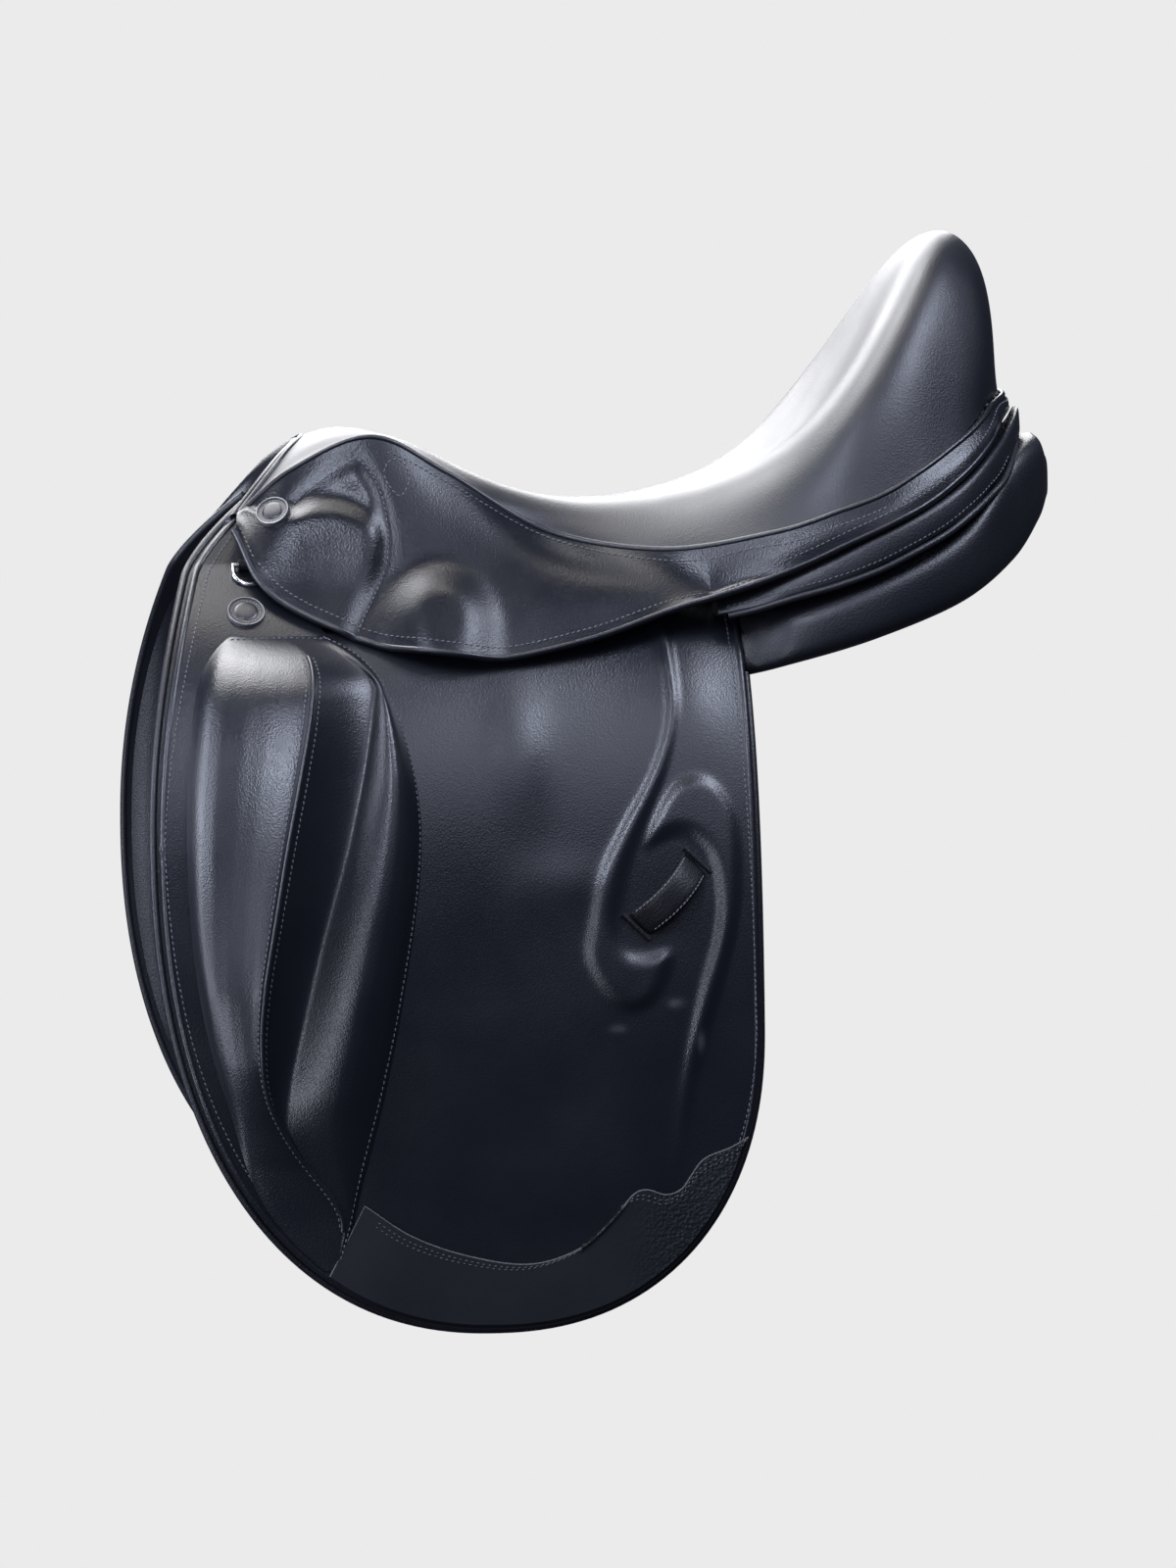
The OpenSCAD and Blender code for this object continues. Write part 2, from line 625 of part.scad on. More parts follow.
// Strained web under the foam, from the head to the cantle of the tree
web_first = 4;
web_cols = 2;
module seat_webbing() {
    function web(lift) = [for (i = [web_first : tree_rows - 1])
        [for (j = [-web_cols : web_cols])
            tree_point(mix(tree_first, tree_last, i / tree_rows), j / tree_cols, seat_gap + lift)]];
    color("tan") skin(web(webbing_t), web(0));
}

// Leather strip over the front of the pommel arch
module head_facing() {
    cols = 16;
    outer = [for (k = [-cols : cols])
        let (p = seat_point(0, k / cols))
        [p + [-1.8, 0, -1.4], p + [-7, p[1] * 0.02, -4], p + [-11, p[1] * 0.02, -11], p + [-12, p[1] * 0.02, -18]]];
    color(leather_black) skin(outer, sunk(outer, skirt_leather * 0.75));
}

// Lower edge of the skirt, one point for each row of the seat edge and on round the cantle
skirt_edge = [
    [-219, 82, 27], [-198, 107, -10], [-142, 129, -36], [-86, 139, -46], [-22, 137, -35], [36, 134, -15],
    [96, 139, 4], [132, half_seat + 9, 20], [158, half_seat + 9, 32], [182, half_seat + 2, 44],
    [203, half_seat - 8, 59], [217, half_seat - 19, 71], [227, half_seat - 31, 82], [234, half_seat - 45, 92],
    [247, half_seat - 85, 99], [252, 0, 102]];
skirt_first = 0.6;
skirt_last = 5.3;
skirt_gap = 0.35;
skirt_rows = 20;
function fold_at(s) = fold_point(mix(-206, 54, (s - skirt_first) / (skirt_last - skirt_first)));

// Fixed upper part of the skirt, from the welt to the fold, then whole from the waist to the cantle
module skirt_band(side) {
    upper = [for (k = [0 : skirt_rows]) let (s = mix(skirt_first, skirt_last, k / skirt_rows))
        [for (t = [0, 0.34, 0.67, 1]) mix(skirt_top(s), fold_at(s) + unit(skirt_top(s) - fold_at(s)), t)]];
    front = [for (k = [0 : 3]) let (s = mix(0, skirt_first, k / 3))
        [for (t = [0, 0.34, 0.67, 1]) mix(skirt_top(s), curve(skirt_edge, s), t)]];
    rear = [for (k = [0 : 22]) let (s = mix(skirt_last + skirt_gap, line_end - 0.06, k / 22))
        [for (t = [0, 0.34, 0.67, 1]) mix(skirt_top(s), curve(skirt_edge, s), t)]];
    grid = concat([for (k = [0 : 2]) front[k]], upper, rear);
    color(leather_black) on_side(side) skin(grid, sunk(grid, skirt_leather));
}

// Free part of the skirt, which lifts on the fold
module skirt(side) {
    grid = [for (k = [0 : skirt_rows]) let (s = mix(skirt_first, skirt_last, k / skirt_rows))
        let (fold = fold_at(s), edge = curve(skirt_edge, s))
        [for (t = [0, 0.35, 0.7, 1]) mix(fold + unit(edge - fold), edge, t)]];
    color(leather_black) on_side(side) skin(grid, sunk(grid, skirt_leather));
}

// Nail badge on each side of the pommel
skirt_badge_place = 0.72;
skirt_badge_drop = 0.42;
function badge_spot(s) = mix(skirt_top(s), fold_at(s), skirt_badge_drop);
module skirt_badges() {
    s = skirt_badge_place;
    at = badge_spot(s);
    along = badge_spot(s + 0.1) - badge_spot(s - 0.1);
    face = unit(cross(along, fold_at(s) - skirt_top(s)));
    turn = atan2(face[0], face[1]);
    tilt = asin(face[2]);
    color(steel) for (side = [LEFT, RIGHT]) on_side(side)
        translate(at + face * 2.5 * seat_gap) rotate([0, 0, -turn]) rotate([tilt, 0, 0]) badge(badge_d / 2);
}

// Steel stirrup bar: flange under the tree, plate, front arm and the open bar
flange_t = 3;
flange_in = 46;
plate_low = -6;
arm_length = 12;
bar_rear = bar_front + bar_length;
bar_mid = bar_front + bar_length / 2;
lap = bar_h * 0.8;
lap_t = bar_t * 0.48;
catch_x = bar_rear - lap / 2;
module bar_outline(length) {
    translate([0, -bar_h / 2]) square([length, bar_h]);
}
module stirrup_bar(side) {
    slope = atan((under_z(bar_rear) - under_z(bar_front)) / bar_length);
    flange_z = under_z(bar_mid) + under_gap - 2 * seat_gap;
    plate_top = flange_z - flange_t / 2;
    slope_run = tan(slope) * bar_length / 2;
    color(steel) on_side(side) {
        intersection() {
            hang_sheet(-point_out - plate_t, -point_out, plate_low, head_top);
            outline_block() polygon([[bar_front, plate_low], [bar_rear, plate_low],
                                     [bar_rear, plate_top + slope_run], [bar_front, plate_top - slope_run]]);
        }
        translate([bar_mid, flange_in, flange_z]) rotate([0, -slope, 0])
            translate([arm_length - bar_length / 2, 0, -flange_t])
                cube([bar_length - arm_length, hang_y(flange_z) - point_out - flange_in, flange_t]);
        intersection() {
            translate([bar_front, 0, bar_z - bar_h / 2]) cube([arm_length, bar_y + bar_t, bar_h]);
            hang_sheet(-point_out - plate_t, bar_y, -span / 4, span / 4);
        }
        difference() {
            translate([bar_front, bar_y + bar_t, bar_z]) rotate([90, 0, 0]) linear_extrude(bar_t)
                union() {
                    bar_outline(bar_length - lap / 2);
                    translate([bar_length - lap / 2, 0]) circle(lap / 2);
                }
            translate([bar_rear - lap - seat_gap, bar_y + lap_t, bar_z - bar_h])
                cube([2 * lap, bar_t, 2 * bar_h]);
            translate([catch_x, bar_y - 1, bar_z]) rotate([-90, 0, 0]) cylinder(h = bar_t + 2, d = catch_pin_d);
        }
    }
}

// Safety catch, level for riding and turned up to hold a stirrup leather
module bar_catch(side) {
    thick = bar_t - lap_t - seat_gap;
    color(steel) on_side(side) translate([catch_x, bar_y + bar_t, bar_z]) rotate([90, 0, 0])
        linear_extrude(thick) difference() {
            union() {
                circle(lap / 2 - 0.3);
                translate([0, -lap / 2 + 1.5]) square([catch_length - 3, lap - 3]);
                translate([catch_length - 3, 0]) circle(lap / 2 - 1.5);
            }
            circle(catch_pin_d / 2 + pin_gap);
        }
}

module catch_pins() {
    color(steel) for (side = [LEFT, RIGHT]) on_side(side)
        translate([catch_x, bar_y, bar_z]) rotate([-90, 0, 0]) cylinder(h = bar_t + 0.8, d = catch_pin_d);
}

// Dee on the flap head, in a leather chape
dee_x = -210;
dee_bar_z = 4;
chape_w = 13;
chape_t = 1.8;
chape_top = 15;
loop_r = dee_wire / 2 + 0.15 + chape_t;
dee_slope = atan((hang_y(dee_bar_z - 10) - hang_y(dee_bar_z)) / 10);
dee_drop = 10;
dee_rest = 8;
module dee_frame() {
    translate([dee_x, hang_y(dee_bar_z) + flap_leather, dee_bar_z])
        rotate([dee_slope, 0, 0]) translate([0, loop_r + seat_gap, 0]) children();
}
module dee(side) {
    reach = (dee_w - dee_wire) / 2;
    color("silver") on_side(side) dee_frame() rotate([-dee_rest, 0, 0]) {
        rotate([0, 90, 0]) cylinder(h = dee_w - dee_wire, d = dee_wire, center = true);
        for (end = [-1, 1]) translate([end * reach, 0, 0]) {
            sphere(d = dee_wire);
            rotate([180, 0, 0]) cylinder(h = dee_drop - dee_w / 4, d = dee_wire);
        }
        translate([0, 0, -dee_drop + dee_w / 4]) rotate([90, 0, 0]) rotate([0, 0, 180])
            rotate_extrude(angle = 180) translate([reach, 0]) circle(d = dee_wire);
    }
}
module dee_chape(side) {
    color(leather_black) on_side(side) {
        dee_frame() rotate([0, 90, 0]) difference() {
            cylinder(h = chape_w, r = loop_r, center = true);
            cylinder(h = chape_w + 1, r = loop_r - chape_t, center = true);
        }
        intersection() {
            hang_sheet(flap_leather + seat_gap, flap_leather + seat_gap + chape_t + 0.4, dee_bar_z + loop_r * 0.5, chape_top);
            outline_block() translate([dee_x - chape_w / 2, -span / 2]) square([chape_w, span]);
        }
    }
}

// Girth straps on webs from the tree, punched for the buckle
web_w = strap_w + 6;
web_low = -40;
strap_top = web_low - 0.7;
strap_out = 2.2 * layer_gap;
sweat_out = strap_out + strap_t + layer_gap + 1.2;
hole_first = 14;
module strap_shape(middle) {
    tip = strap_w / 2;
    translate([middle - strap_w / 2, strap_bottom + tip]) square([strap_w, strap_top - strap_bottom - tip]);
    translate([middle, strap_bottom + tip]) circle(tip);
}
module girth_strap(side, middle) {
    color(leather_soft) on_side(side) difference() {
        intersection() {
            hang_sheet(-strap_out - strap_t, -strap_out, strap_bottom, strap_top);
            outline_block() strap_shape(middle);
        }
        for (k = [0 : strap_holes - 1])
            translate([middle, 0, strap_bottom + hole_first + k * strap_pitch])
                rotate([-90, 0, 0]) cylinder(h = span / 2, d = strap_hole_d);
    }
}
module girth_webs() {
    webs = [[front_strap, 0], [rear_strap, spring_t + seat_gap]];
    color("wheat") for (side = [LEFT, RIGHT]) on_side(side) for (web = webs) {
        middle = web[0];
        top = min(under_z(middle - web_w / 2), under_z(middle + web_w / 2)) + under_gap - seat_gap - web[1];
        intersection() {
            hang_sheet(-strap_out - strap_t, -strap_out, web_low, top);
            outline_block() translate([middle - web_w / 2, -span / 2]) square([web_w, span]);
        }
    }
}

// Sweat flap of the panel, under the girth straps
sweat_grow = 4;
sweat_top = -1.8;
module sweat_flap(side) {
    color(leather_soft) on_side(side) intersection() {
        hang_sheet(-sweat_out - sweat_leather, -sweat_out, flap_bottom - sweat_grow, sweat_top);
        outline_block() polygon(flap_edge(sweat_grow, sweat_top, sweat_top));
    }
}

// Pocket on the sweat flap for the point of the tree
pocket_t = 2;
module point_pockets() {
    color(leather_soft) for (side = [LEFT, RIGHT]) on_side(side) intersection() {
        hang_sheet(-point_out + seat_gap, -point_out + seat_gap + pocket_t, -point_depth - 8, -point_depth + 42);
        outline_block() translate([point_front - 5, -span / 2]) square([point_w + 10, span]);
    }
}

// Padded front of the panel, inside the sweat flap
pad_top = -92;
pad_bottom = -290;
pad_rear = -122;
pad_stations = [for (z = hang_stations) if (z < pad_top && z > pad_bottom) z];
pad_cols = 8;
module knee_pad(side) {
    low = pad_stations[len(pad_stations) - 1];
    high = pad_stations[0];
    function depth(z, t) = 2 + pad_thick * pow(sin(180 * clamp(t)), 0.6)
        * pow(sin(180 * clamp(0.06 + 0.88 * (high - z) / (high - low))), 0.6);
    function layer(inside) = [for (j = [0 : pad_cols]) [for (z = pad_stations)
        let (t = j / pad_cols, x = mix(front_curve(z) + 2, pad_rear, t))
        [x, hang_y(z) - sweat_out - sweat_leather - seat_gap - inside * depth(z, t), z]]];
    color(leather_soft) on_side(side) skin(layer(0), layer(1));
}

// Flocked panel: one section per row, with corners top inside, top outside, bottom outside, bottom inside
panel_rows = [
    [-224, [46, 4], [58, -2], [92, -58], [54, -30]],
    [-206, [gullet_half + 4, 11], [66, -6], [112, -78], [46, -36]],
    [-120, [gullet_half, -1], [85, -13], [134.5, -84], [43, -40]],
    [-20, [gullet_half - 1, -3], [85, -14], [133, -80], [41, -40]],
    [78, [gullet_half - 1, 2], [76, -12], [114, -66], [40, -38]],
    [104, [gullet_half - 1, 6], [half_seat - 3, -16], [half_seat + 4, -44], [41, -34]],
    [152, [gullet_half, 20], [half_seat + 4, 3], [half_seat + 4, -33], [42, -20]],
    [205, [gullet_half, 44], [half_seat - 9, 31], [half_seat - 11, -15], [42, 2]],
    [240, [gullet_half - 3, 64], [half_seat - 40, 64], [half_seat - 38, 6], [38, 24]],
    [259, [gullet_half - 4, 80], [half_seat - 63, 80], [half_seat - 58, 30], [36, 42]],
    [267, [gullet_half + 4, 72], [half_seat - 78, 72], [half_seat - 74, 48], [42, 54]]];
section_points = 16;
section_power = 0.55;
function section_at(row, s) =
    let (c = cos(360 * s / section_points), d = sin(360 * s / section_points),
         a = 0.5 + 0.5 * sign(c) * pow(abs(c), section_power),
         b = 0.5 + 0.5 * sign(d) * pow(abs(d), section_power),
         top = mix(row[1], row[2], a), low = mix(row[4], row[3], a), p = mix(low, top, b))
    [row[0], p[0], p[1]];

module loft(rows, steps) {
    last = (len(rows) - 1) * steps;
    count = section_points;
    points = [for (k = [0 : last])
        let (i = k / steps, row = [for (c = [0 : 4]) curve([for (r = rows) r[c]], i)])
        for (s = [0 : count - 1]) section_at(row, s)];
    walls = [for (k = [0 : last - 1]) for (s = [0 : count - 1])
        let (a = k * count + s, b = k * count + (s + 1) % count)
        each [[a, a + count, b + count], [a, b + count, b]]];
    caps = [[for (s = [0 : count - 1]) s], [for (s = [count - 1 : -1 : 0]) last * count + s]];
    polyhedron(points, concat(walls, caps));
}

module panel(side) {
    color(leather_soft) on_side(side) loft(panel_rows, 3);
}

// Rear gusset: the deep roll between the skirt and the piping of the panel
gusset_rows = [
    [100, [58, 9], [half_seat - 6, 0], [half_seat - 1, -13], [58, -2]],
    [128, [58, 20], [half_seat + 2, 13], [half_seat + 4, -4], [58, 9]],
    [152, [58, 31], [half_seat + 3, 26], [half_seat + 5, 6], [58, 21]],
    [180, [56, 43], [half_seat - 1, 39], [half_seat, 20], [56, 34]],
    [207, [52, 60], [half_seat - 14, 56], [half_seat - 10, 36], [52, 48]],
    [228, [46, 74], [half_seat - 36, 71], [half_seat - 31, 56], [46, 62]],
    [244, [40, 84], [half_seat - 62, 83], [half_seat - 58, 72], [40, 76]]];
module rear_gusset(side) {
    color(leather_black) on_side(side) loft(gusset_rows, 3);
}

// Lining of the gullet between the panels
module gullet_lining() {
    rows = 22;
    half = gullet_half - 3;
    function strip(drop) = [for (i = [0 : rows]) [for (j = [-3 : 3])
        let (x = mix(-118, 214, i / rows)) [x, half * j / 3, under_z(x) + lining_t - drop]]];
    color(leather_soft) skin(strip(0), strip(lining_t));
}

tree_frame();
gullet_plate();
gullet_rivets();
springs();
spring_rivets();
stirrup_bar(LEFT);  // stirrup_bar_left
stirrup_bar(RIGHT);  // stirrup_bar_right
catch_pins();
bar_catch(LEFT);  // bar_catch_left
bar_catch(RIGHT);  // bar_catch_right
seat_webbing();
seat_foam();
seat_cover();
seat_welt();
head_facing();
skirt_band(LEFT);  // skirt_band_left
skirt_band(RIGHT);  // skirt_band_right
skirt(LEFT);  // skirt_left
skirt(RIGHT);  // skirt_right
skirt_badges();
flap_head(LEFT);  // flap_head_left
flap_head(RIGHT);  // flap_head_right
flap(LEFT);  // flap_left
flap(RIGHT);  // flap_right
flap_binding(LEFT);  // flap_binding_left
flap_binding(RIGHT);  // flap_binding_right
flap_patch(LEFT);  // flap_patch_left
flap_patch(RIGHT);  // flap_patch_right
knee_core(LEFT);  // knee_core_left
knee_core(RIGHT);  // knee_core_right
knee_cover(LEFT);  // knee_cover_left
knee_cover(RIGHT);  // knee_cover_right
keeper(LEFT);  // keeper_left
keeper(RIGHT);  // keeper_right
flap_badge(LEFT);  // flap_badge_left
flap_badge(RIGHT);  // flap_badge_right
dee_chape(LEFT);  // dee_chape_left
dee_chape(RIGHT);  // dee_chape_right
dee(LEFT);  // dee_left
dee(RIGHT);  // dee_right
girth_webs();
girth_strap(LEFT, front_strap);  // front_strap_left
girth_strap(RIGHT, front_strap);  // front_strap_right
girth_strap(LEFT, rear_strap);  // rear_strap_left
girth_strap(RIGHT, rear_strap);  // rear_strap_right
sweat_flap(LEFT);  // sweat_flap_left
sweat_flap(RIGHT);  // sweat_flap_right
point_pockets();
knee_pad(LEFT);  // knee_pad_left
knee_pad(RIGHT);  // knee_pad_right
panel(LEFT);  // panel_left
panel(RIGHT);  // panel_right
rear_gusset(LEFT);  // rear_gusset_left
rear_gusset(RIGHT);  // rear_gusset_right
gullet_lining();
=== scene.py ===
import math
import bmesh
import bpy
import numpy as np
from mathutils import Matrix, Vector


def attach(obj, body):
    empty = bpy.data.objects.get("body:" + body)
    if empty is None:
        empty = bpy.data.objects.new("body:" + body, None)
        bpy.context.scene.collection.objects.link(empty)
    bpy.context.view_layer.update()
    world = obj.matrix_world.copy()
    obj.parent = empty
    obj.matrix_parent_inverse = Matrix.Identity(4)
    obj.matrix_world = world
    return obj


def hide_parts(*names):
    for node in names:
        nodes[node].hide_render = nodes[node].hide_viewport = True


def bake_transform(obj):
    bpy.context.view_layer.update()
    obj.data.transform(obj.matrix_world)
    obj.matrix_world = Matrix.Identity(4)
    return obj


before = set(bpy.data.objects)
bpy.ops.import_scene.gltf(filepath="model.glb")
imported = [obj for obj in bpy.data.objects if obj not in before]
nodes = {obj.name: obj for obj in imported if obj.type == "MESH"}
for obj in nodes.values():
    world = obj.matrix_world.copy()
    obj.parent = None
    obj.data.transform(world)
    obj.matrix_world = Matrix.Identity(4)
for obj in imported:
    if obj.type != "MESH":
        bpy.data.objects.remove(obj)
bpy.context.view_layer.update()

# The tree is laminated beech, stained black, with a head, two rails and a cantle. A forged steel arch is riveted
# under the head, tempered springs lie under the rails, and each stirrup bar ends in a hinged catch.
def finish_of(name, color, rough, metal=0.0):
    finish = bpy.data.materials.new(name)
    finish.use_nodes = True
    surface = finish.node_tree.nodes["Principled BSDF"].inputs
    surface["Base Color"].default_value = (*color, 1)
    surface["Roughness"].default_value = rough
    surface["Metallic"].default_value = metal
    return finish, finish.node_tree, surface

def add_node(tree, kind, **values):
    made = tree.nodes.new("ShaderNode" + kind)
    for label, value in values.items():
        made.inputs[label.replace("_", " ")].default_value = value
    return made

def wire(tree, *pairs):
    for start, end in pairs:
        tree.links.new(start, end)

def pattern(tree, kind, stretch=None, **values):
    texture = add_node(tree, "Tex" + kind, **values)
    place = add_node(tree, "TexCoord").outputs["Object"]
    if stretch:
        along = add_node(tree, "Mapping", Scale=stretch)
        wire(tree, (place, along.inputs["Vector"]))
        place = along.outputs["Vector"]
    wire(tree, (place, texture.inputs["Vector"]))
    return texture.outputs["Fac"]

def tinted(tree, surface, amount, dark, light, dark_at=0.0, light_at=1.0):
    ramp = add_node(tree, "ValToRGB")
    for stop, at, color in zip(ramp.color_ramp.elements, (dark_at, light_at), (dark, light)):
        stop.position, stop.color = at, (*color, 1)
    wire(tree, (amount, ramp.inputs["Fac"]), (ramp.outputs["Color"], surface["Base Color"]))

beech, tree, surface = finish_of("stained_beech", (0.02, 0.016, 0.012), 0.55)
rings = pattern(tree, "Noise", (14, 130, 240), Scale=1.0, Detail=5.0)
tinted(tree, surface, rings, (0.012, 0.009, 0.007), (0.032, 0.024, 0.018), 0.35, 0.65)

def uneven(tree, surface, amount, glossy, dull):
    spread = add_node(tree, "MapRange", To_Min=glossy, To_Max=dull)
    wire(tree, (amount, spread.inputs["Value"]), (spread.outputs["Result"], surface["Roughness"]))

def embossed(tree, surface, height, strength, depth):
    raised = add_node(tree, "Bump", Strength=strength, Distance=depth)
    wire(tree, (height, raised.inputs["Height"]), (raised.outputs["Normal"], surface["Normal"]))

forged, tree, surface = finish_of("forged_steel", (0.42, 0.42, 0.44), 0.35, 1.0)
scratches = pattern(tree, "Noise", (60, 900, 900), Scale=1.0, Detail=3.0)
uneven(tree, surface, scratches, 0.24, 0.5)
embossed(tree, surface, scratches, 0.15, 0.0002)

def dress(finish, *names):
    for name in names:
        nodes[name].data.materials.clear()
        nodes[name].data.materials.append(finish)

dress(beech, "tree_frame")
dress(forged, "gullet_plate", "gullet_rivets", "springs", "spring_rivets", "catch_pins", "stirrup_bar_left",
      "stirrup_bar_right", "bar_catch_left", "bar_catch_right")

# Woven flax webs carry the seat over the open tree and hang the girth straps from the rails.
# They are cream, with a ribbed weave that runs across the strip.
web, tree, surface = finish_of("flax_web", (0.45, 0.38, 0.27), 0.85)
ribs = pattern(tree, "Wave", Scale=160.0, Distortion=1.2, Detail=2.0)
tinted(tree, surface, ribs, (0.30, 0.24, 0.16), (0.56, 0.49, 0.36))
embossed(tree, surface, ribs, 0.4, 0.0005)
dress(web, "seat_webbing", "girth_webs")

# The seat is foam under one piece of black calf, blocked over the pommel and up the cantle.
# Its hide is drawn tight and sewn to the skirts along the welt.
hide = bpy.data.node_groups.new("calf_hide", "ShaderNodeTree")
for label, kind, value in (("Vector", "NodeSocketVector", (0, 0, 0)),
                           ("Hide", "NodeSocketColor", (0.01, 0.01, 0.012, 1)),
                           ("Worn", "NodeSocketColor", (0.05, 0.05, 0.055, 1)), ("Wear", "NodeSocketFloat", 0.0),
                           ("Pores", "NodeSocketFloat", 900.0), ("Sheen", "NodeSocketFloat", 0.34)):
    hide.interface.new_socket(label, in_out="INPUT", socket_type=kind).default_value = value
for label, kind in (("Color", "NodeSocketColor"), ("Roughness", "NodeSocketFloat"), ("Height", "NodeSocketFloat")):
    hide.interface.new_socket(label, in_out="OUTPUT", socket_type=kind)
given = hide.nodes.new("NodeGroupInput").outputs
made = hide.nodes.new("NodeGroupOutput").inputs
pores = add_node(hide, "TexVoronoi")
pores.feature = "SMOOTH_F1"
pores.inputs["Smoothness"].default_value = 0.6
fuzz = add_node(hide, "TexNoise", Scale=420.0, Detail=4.0)
cloud = add_node(hide, "TexNoise", Scale=16.0, Detail=4.0)
scuff = add_node(hide, "TexNoise", Scale=120.0, Detail=5.0)
worn_by = add_node(hide, "Math")
worn_by.operation = "MULTIPLY"
worn_by.use_clamp = True
shade = add_node(hide, "Mix")
shade.data_type = "RGBA"
base = add_node(hide, "MapRange", From_Min=0.3, From_Max=0.7, To_Min=-0.05, To_Max=0.07)
sheen = add_node(hide, "Math")
sheen.operation = "ADD"
dull = add_node(hide, "Math")
dull.operation = "MULTIPLY_ADD"
dull.inputs[1].default_value = 0.18
grain = add_node(hide, "Math")
grain.operation = "MULTIPLY_ADD"
grain.inputs[1].default_value = 0.5
wire(hide, (given["Vector"], pores.inputs["Vector"]), (given["Pores"], pores.inputs["Scale"]),
     (given["Vector"], fuzz.inputs["Vector"]), (given["Vector"], cloud.inputs["Vector"]),
     (given["Vector"], scuff.inputs["Vector"]), (given["Wear"], worn_by.inputs[0]),
     (scuff.outputs["Fac"], worn_by.inputs[1]), (worn_by.outputs[0], shade.inputs["Factor"]),
     (given["Hide"], shade.inputs["A"]), (given["Worn"], shade.inputs["B"]),
     (cloud.outputs["Fac"], base.inputs["Value"]), (base.outputs["Result"], sheen.inputs[0]),
     (given["Sheen"], sheen.inputs[1]), (worn_by.outputs[0], dull.inputs[0]),
     (sheen.outputs[0], dull.inputs[2]), (fuzz.outputs["Fac"], grain.inputs[0]),
     (pores.outputs["Distance"], grain.inputs[2]), (shade.outputs["Result"], made["Color"]),
     (dull.outputs[0], made["Roughness"]), (grain.outputs[0], made["Height"]))

def leather(name, color, worn, sheen, pores, depth, coat, specular=0.5):
    finish, tree, surface = finish_of(name, color, sheen)
    place = add_node(tree, "TexCoord")
    wear = add_node(tree, "Attribute")
    wear.attribute_name = "wear"
    skin = add_node(tree, "Group")
    skin.node_tree = hide
    for label, value in (("Hide", (*color, 1)), ("Worn", (*worn, 1)), ("Pores", pores), ("Sheen", sheen)):
        skin.inputs[label].default_value = value
    surface["Coat Weight"].default_value = coat
    surface["Coat Roughness"].default_value = 0.32
    surface["Specular IOR Level"].default_value = specular
    wire(tree, (place.outputs["Object"], skin.inputs["Vector"]), (wear.outputs["Fac"], skin.inputs["Wear"]),
         (skin.outputs["Color"], surface["Base Color"]), (skin.outputs["Roughness"], surface["Roughness"]))
    embossed(tree, surface, skin.outputs["Height"], 0.35, depth)
    return finish

def curve(points, place):
    points = np.asarray(points, float)
    place = np.asarray(place, float)
    last = len(points) - 1
    i = np.clip(np.floor(place).astype(int), 0, last - 1)
    t = (place - i)[..., None]
    b, c = points[i], points[i + 1]
    a = np.where((i > 0)[..., None], points[np.maximum(i - 1, 0)], 2 * b - c)
    d = np.where((i + 2 <= last)[..., None], points[np.minimum(i + 2, last)], 2 * c - b)
    return 0.5 * (2 * b + (c - a) * t + (2 * a - 5 * b + 4 * c - d) * t**2 + (3 * b - a - 3 * c + d) * t**3)

def smooth(value):
    t = np.clip(value, 0, 1)
    return t * t * (3 - 2 * t)

def sheet(name, points, thick, facing, finish):
    rows, cols = points.shape[:2]
    bpy.ops.object.select_all(action="DESELECT")
    bpy.ops.mesh.primitive_grid_add(x_subdivisions=cols - 1, y_subdivisions=rows - 1, size=1)
    piece = bpy.context.object
    piece.name = name
    piece.data.materials.append(finish)
    flat = np.empty(rows * cols * 3)
    piece.data.vertices.foreach_get("co", flat)
    flat = flat.reshape(-1, 3)
    i = np.rint((flat[:, 1] + 0.5) * (rows - 1)).astype(int)
    j = np.rint((flat[:, 0] + 0.5) * (cols - 1)).astype(int)
    piece.data.vertices.foreach_set("co", points[i, j].ravel())
    piece.data.update()
    normals = np.empty(len(piece.data.polygons) * 3)
    piece.data.polygons.foreach_get("normal", normals)
    if normals.reshape(-1, 3).mean(0) @ np.asarray(facing, float) < 0:
        piece.data.flip_normals()
    walled(piece, thick)
    return piece

def walled(piece, thick):
    bpy.context.view_layer.objects.active = piece
    if thick:
        wall = piece.modifiers.new("wall", "SOLIDIFY")
        wall.thickness = thick
        wall.offset = -1
        bpy.ops.object.modifier_apply(modifier="wall")
    bpy.ops.object.shade_smooth_by_angle(angle=math.radians(42))

def relax(points, times, part=0.5):
    points = points.copy()
    for _ in range(times):
        middle = (points[:-2, 1:-1] + points[2:, 1:-1] + points[1:-1, :-2] + points[1:-1, 2:]) / 4
        points[1:-1, 1:-1] += part * (middle - points[1:-1, 1:-1])
    return points

def mirrored(points, side):
    return points * np.array([1, side, 1])

seat_spine = np.array([(-172, 0, 82), (-150, 0, 89), (-116, 0, 80), (-82, 0, 60), (-30, 0, 42), (30, 0, 42),
                       (85, 0, 46), (128, 0, 70), (160, 0, 115), (184, 0, 168), (210, 0, 208), (239, 0, 193),
                       (244, 0, 146), (245, 0, 109)]) / 1000
seat_crest = np.array([(-186, 38, 70), (-160, 40, 84), (-122, 43, 82), (-85, 44, 61), (-30, 50, 44), (32, 66, 47),
                       (88, 86, 71), (122, 98, 104), (148, 96, 140), (176, 78, 180), (200, 58, 203), (229, 54, 182),
                       (234, 54, 137), (239, 53, 107)]) / 1000
seat_edge = np.array([(-213, 60, 38), (-182, 66, 64), (-138, 70, 82), (-95, 72, 62), (-36, 80, 28), (30, 105, 17),
                      (92, 126, 27), (128, 132, 39), (154, 131, 49), (176, 125, 62), (194, 116, 74), (208, 107, 84),
                      (218, 97, 93), (226, 84, 101)]) / 1000
seat_end = len(seat_spine) - 1
seat_thick = 0.0025

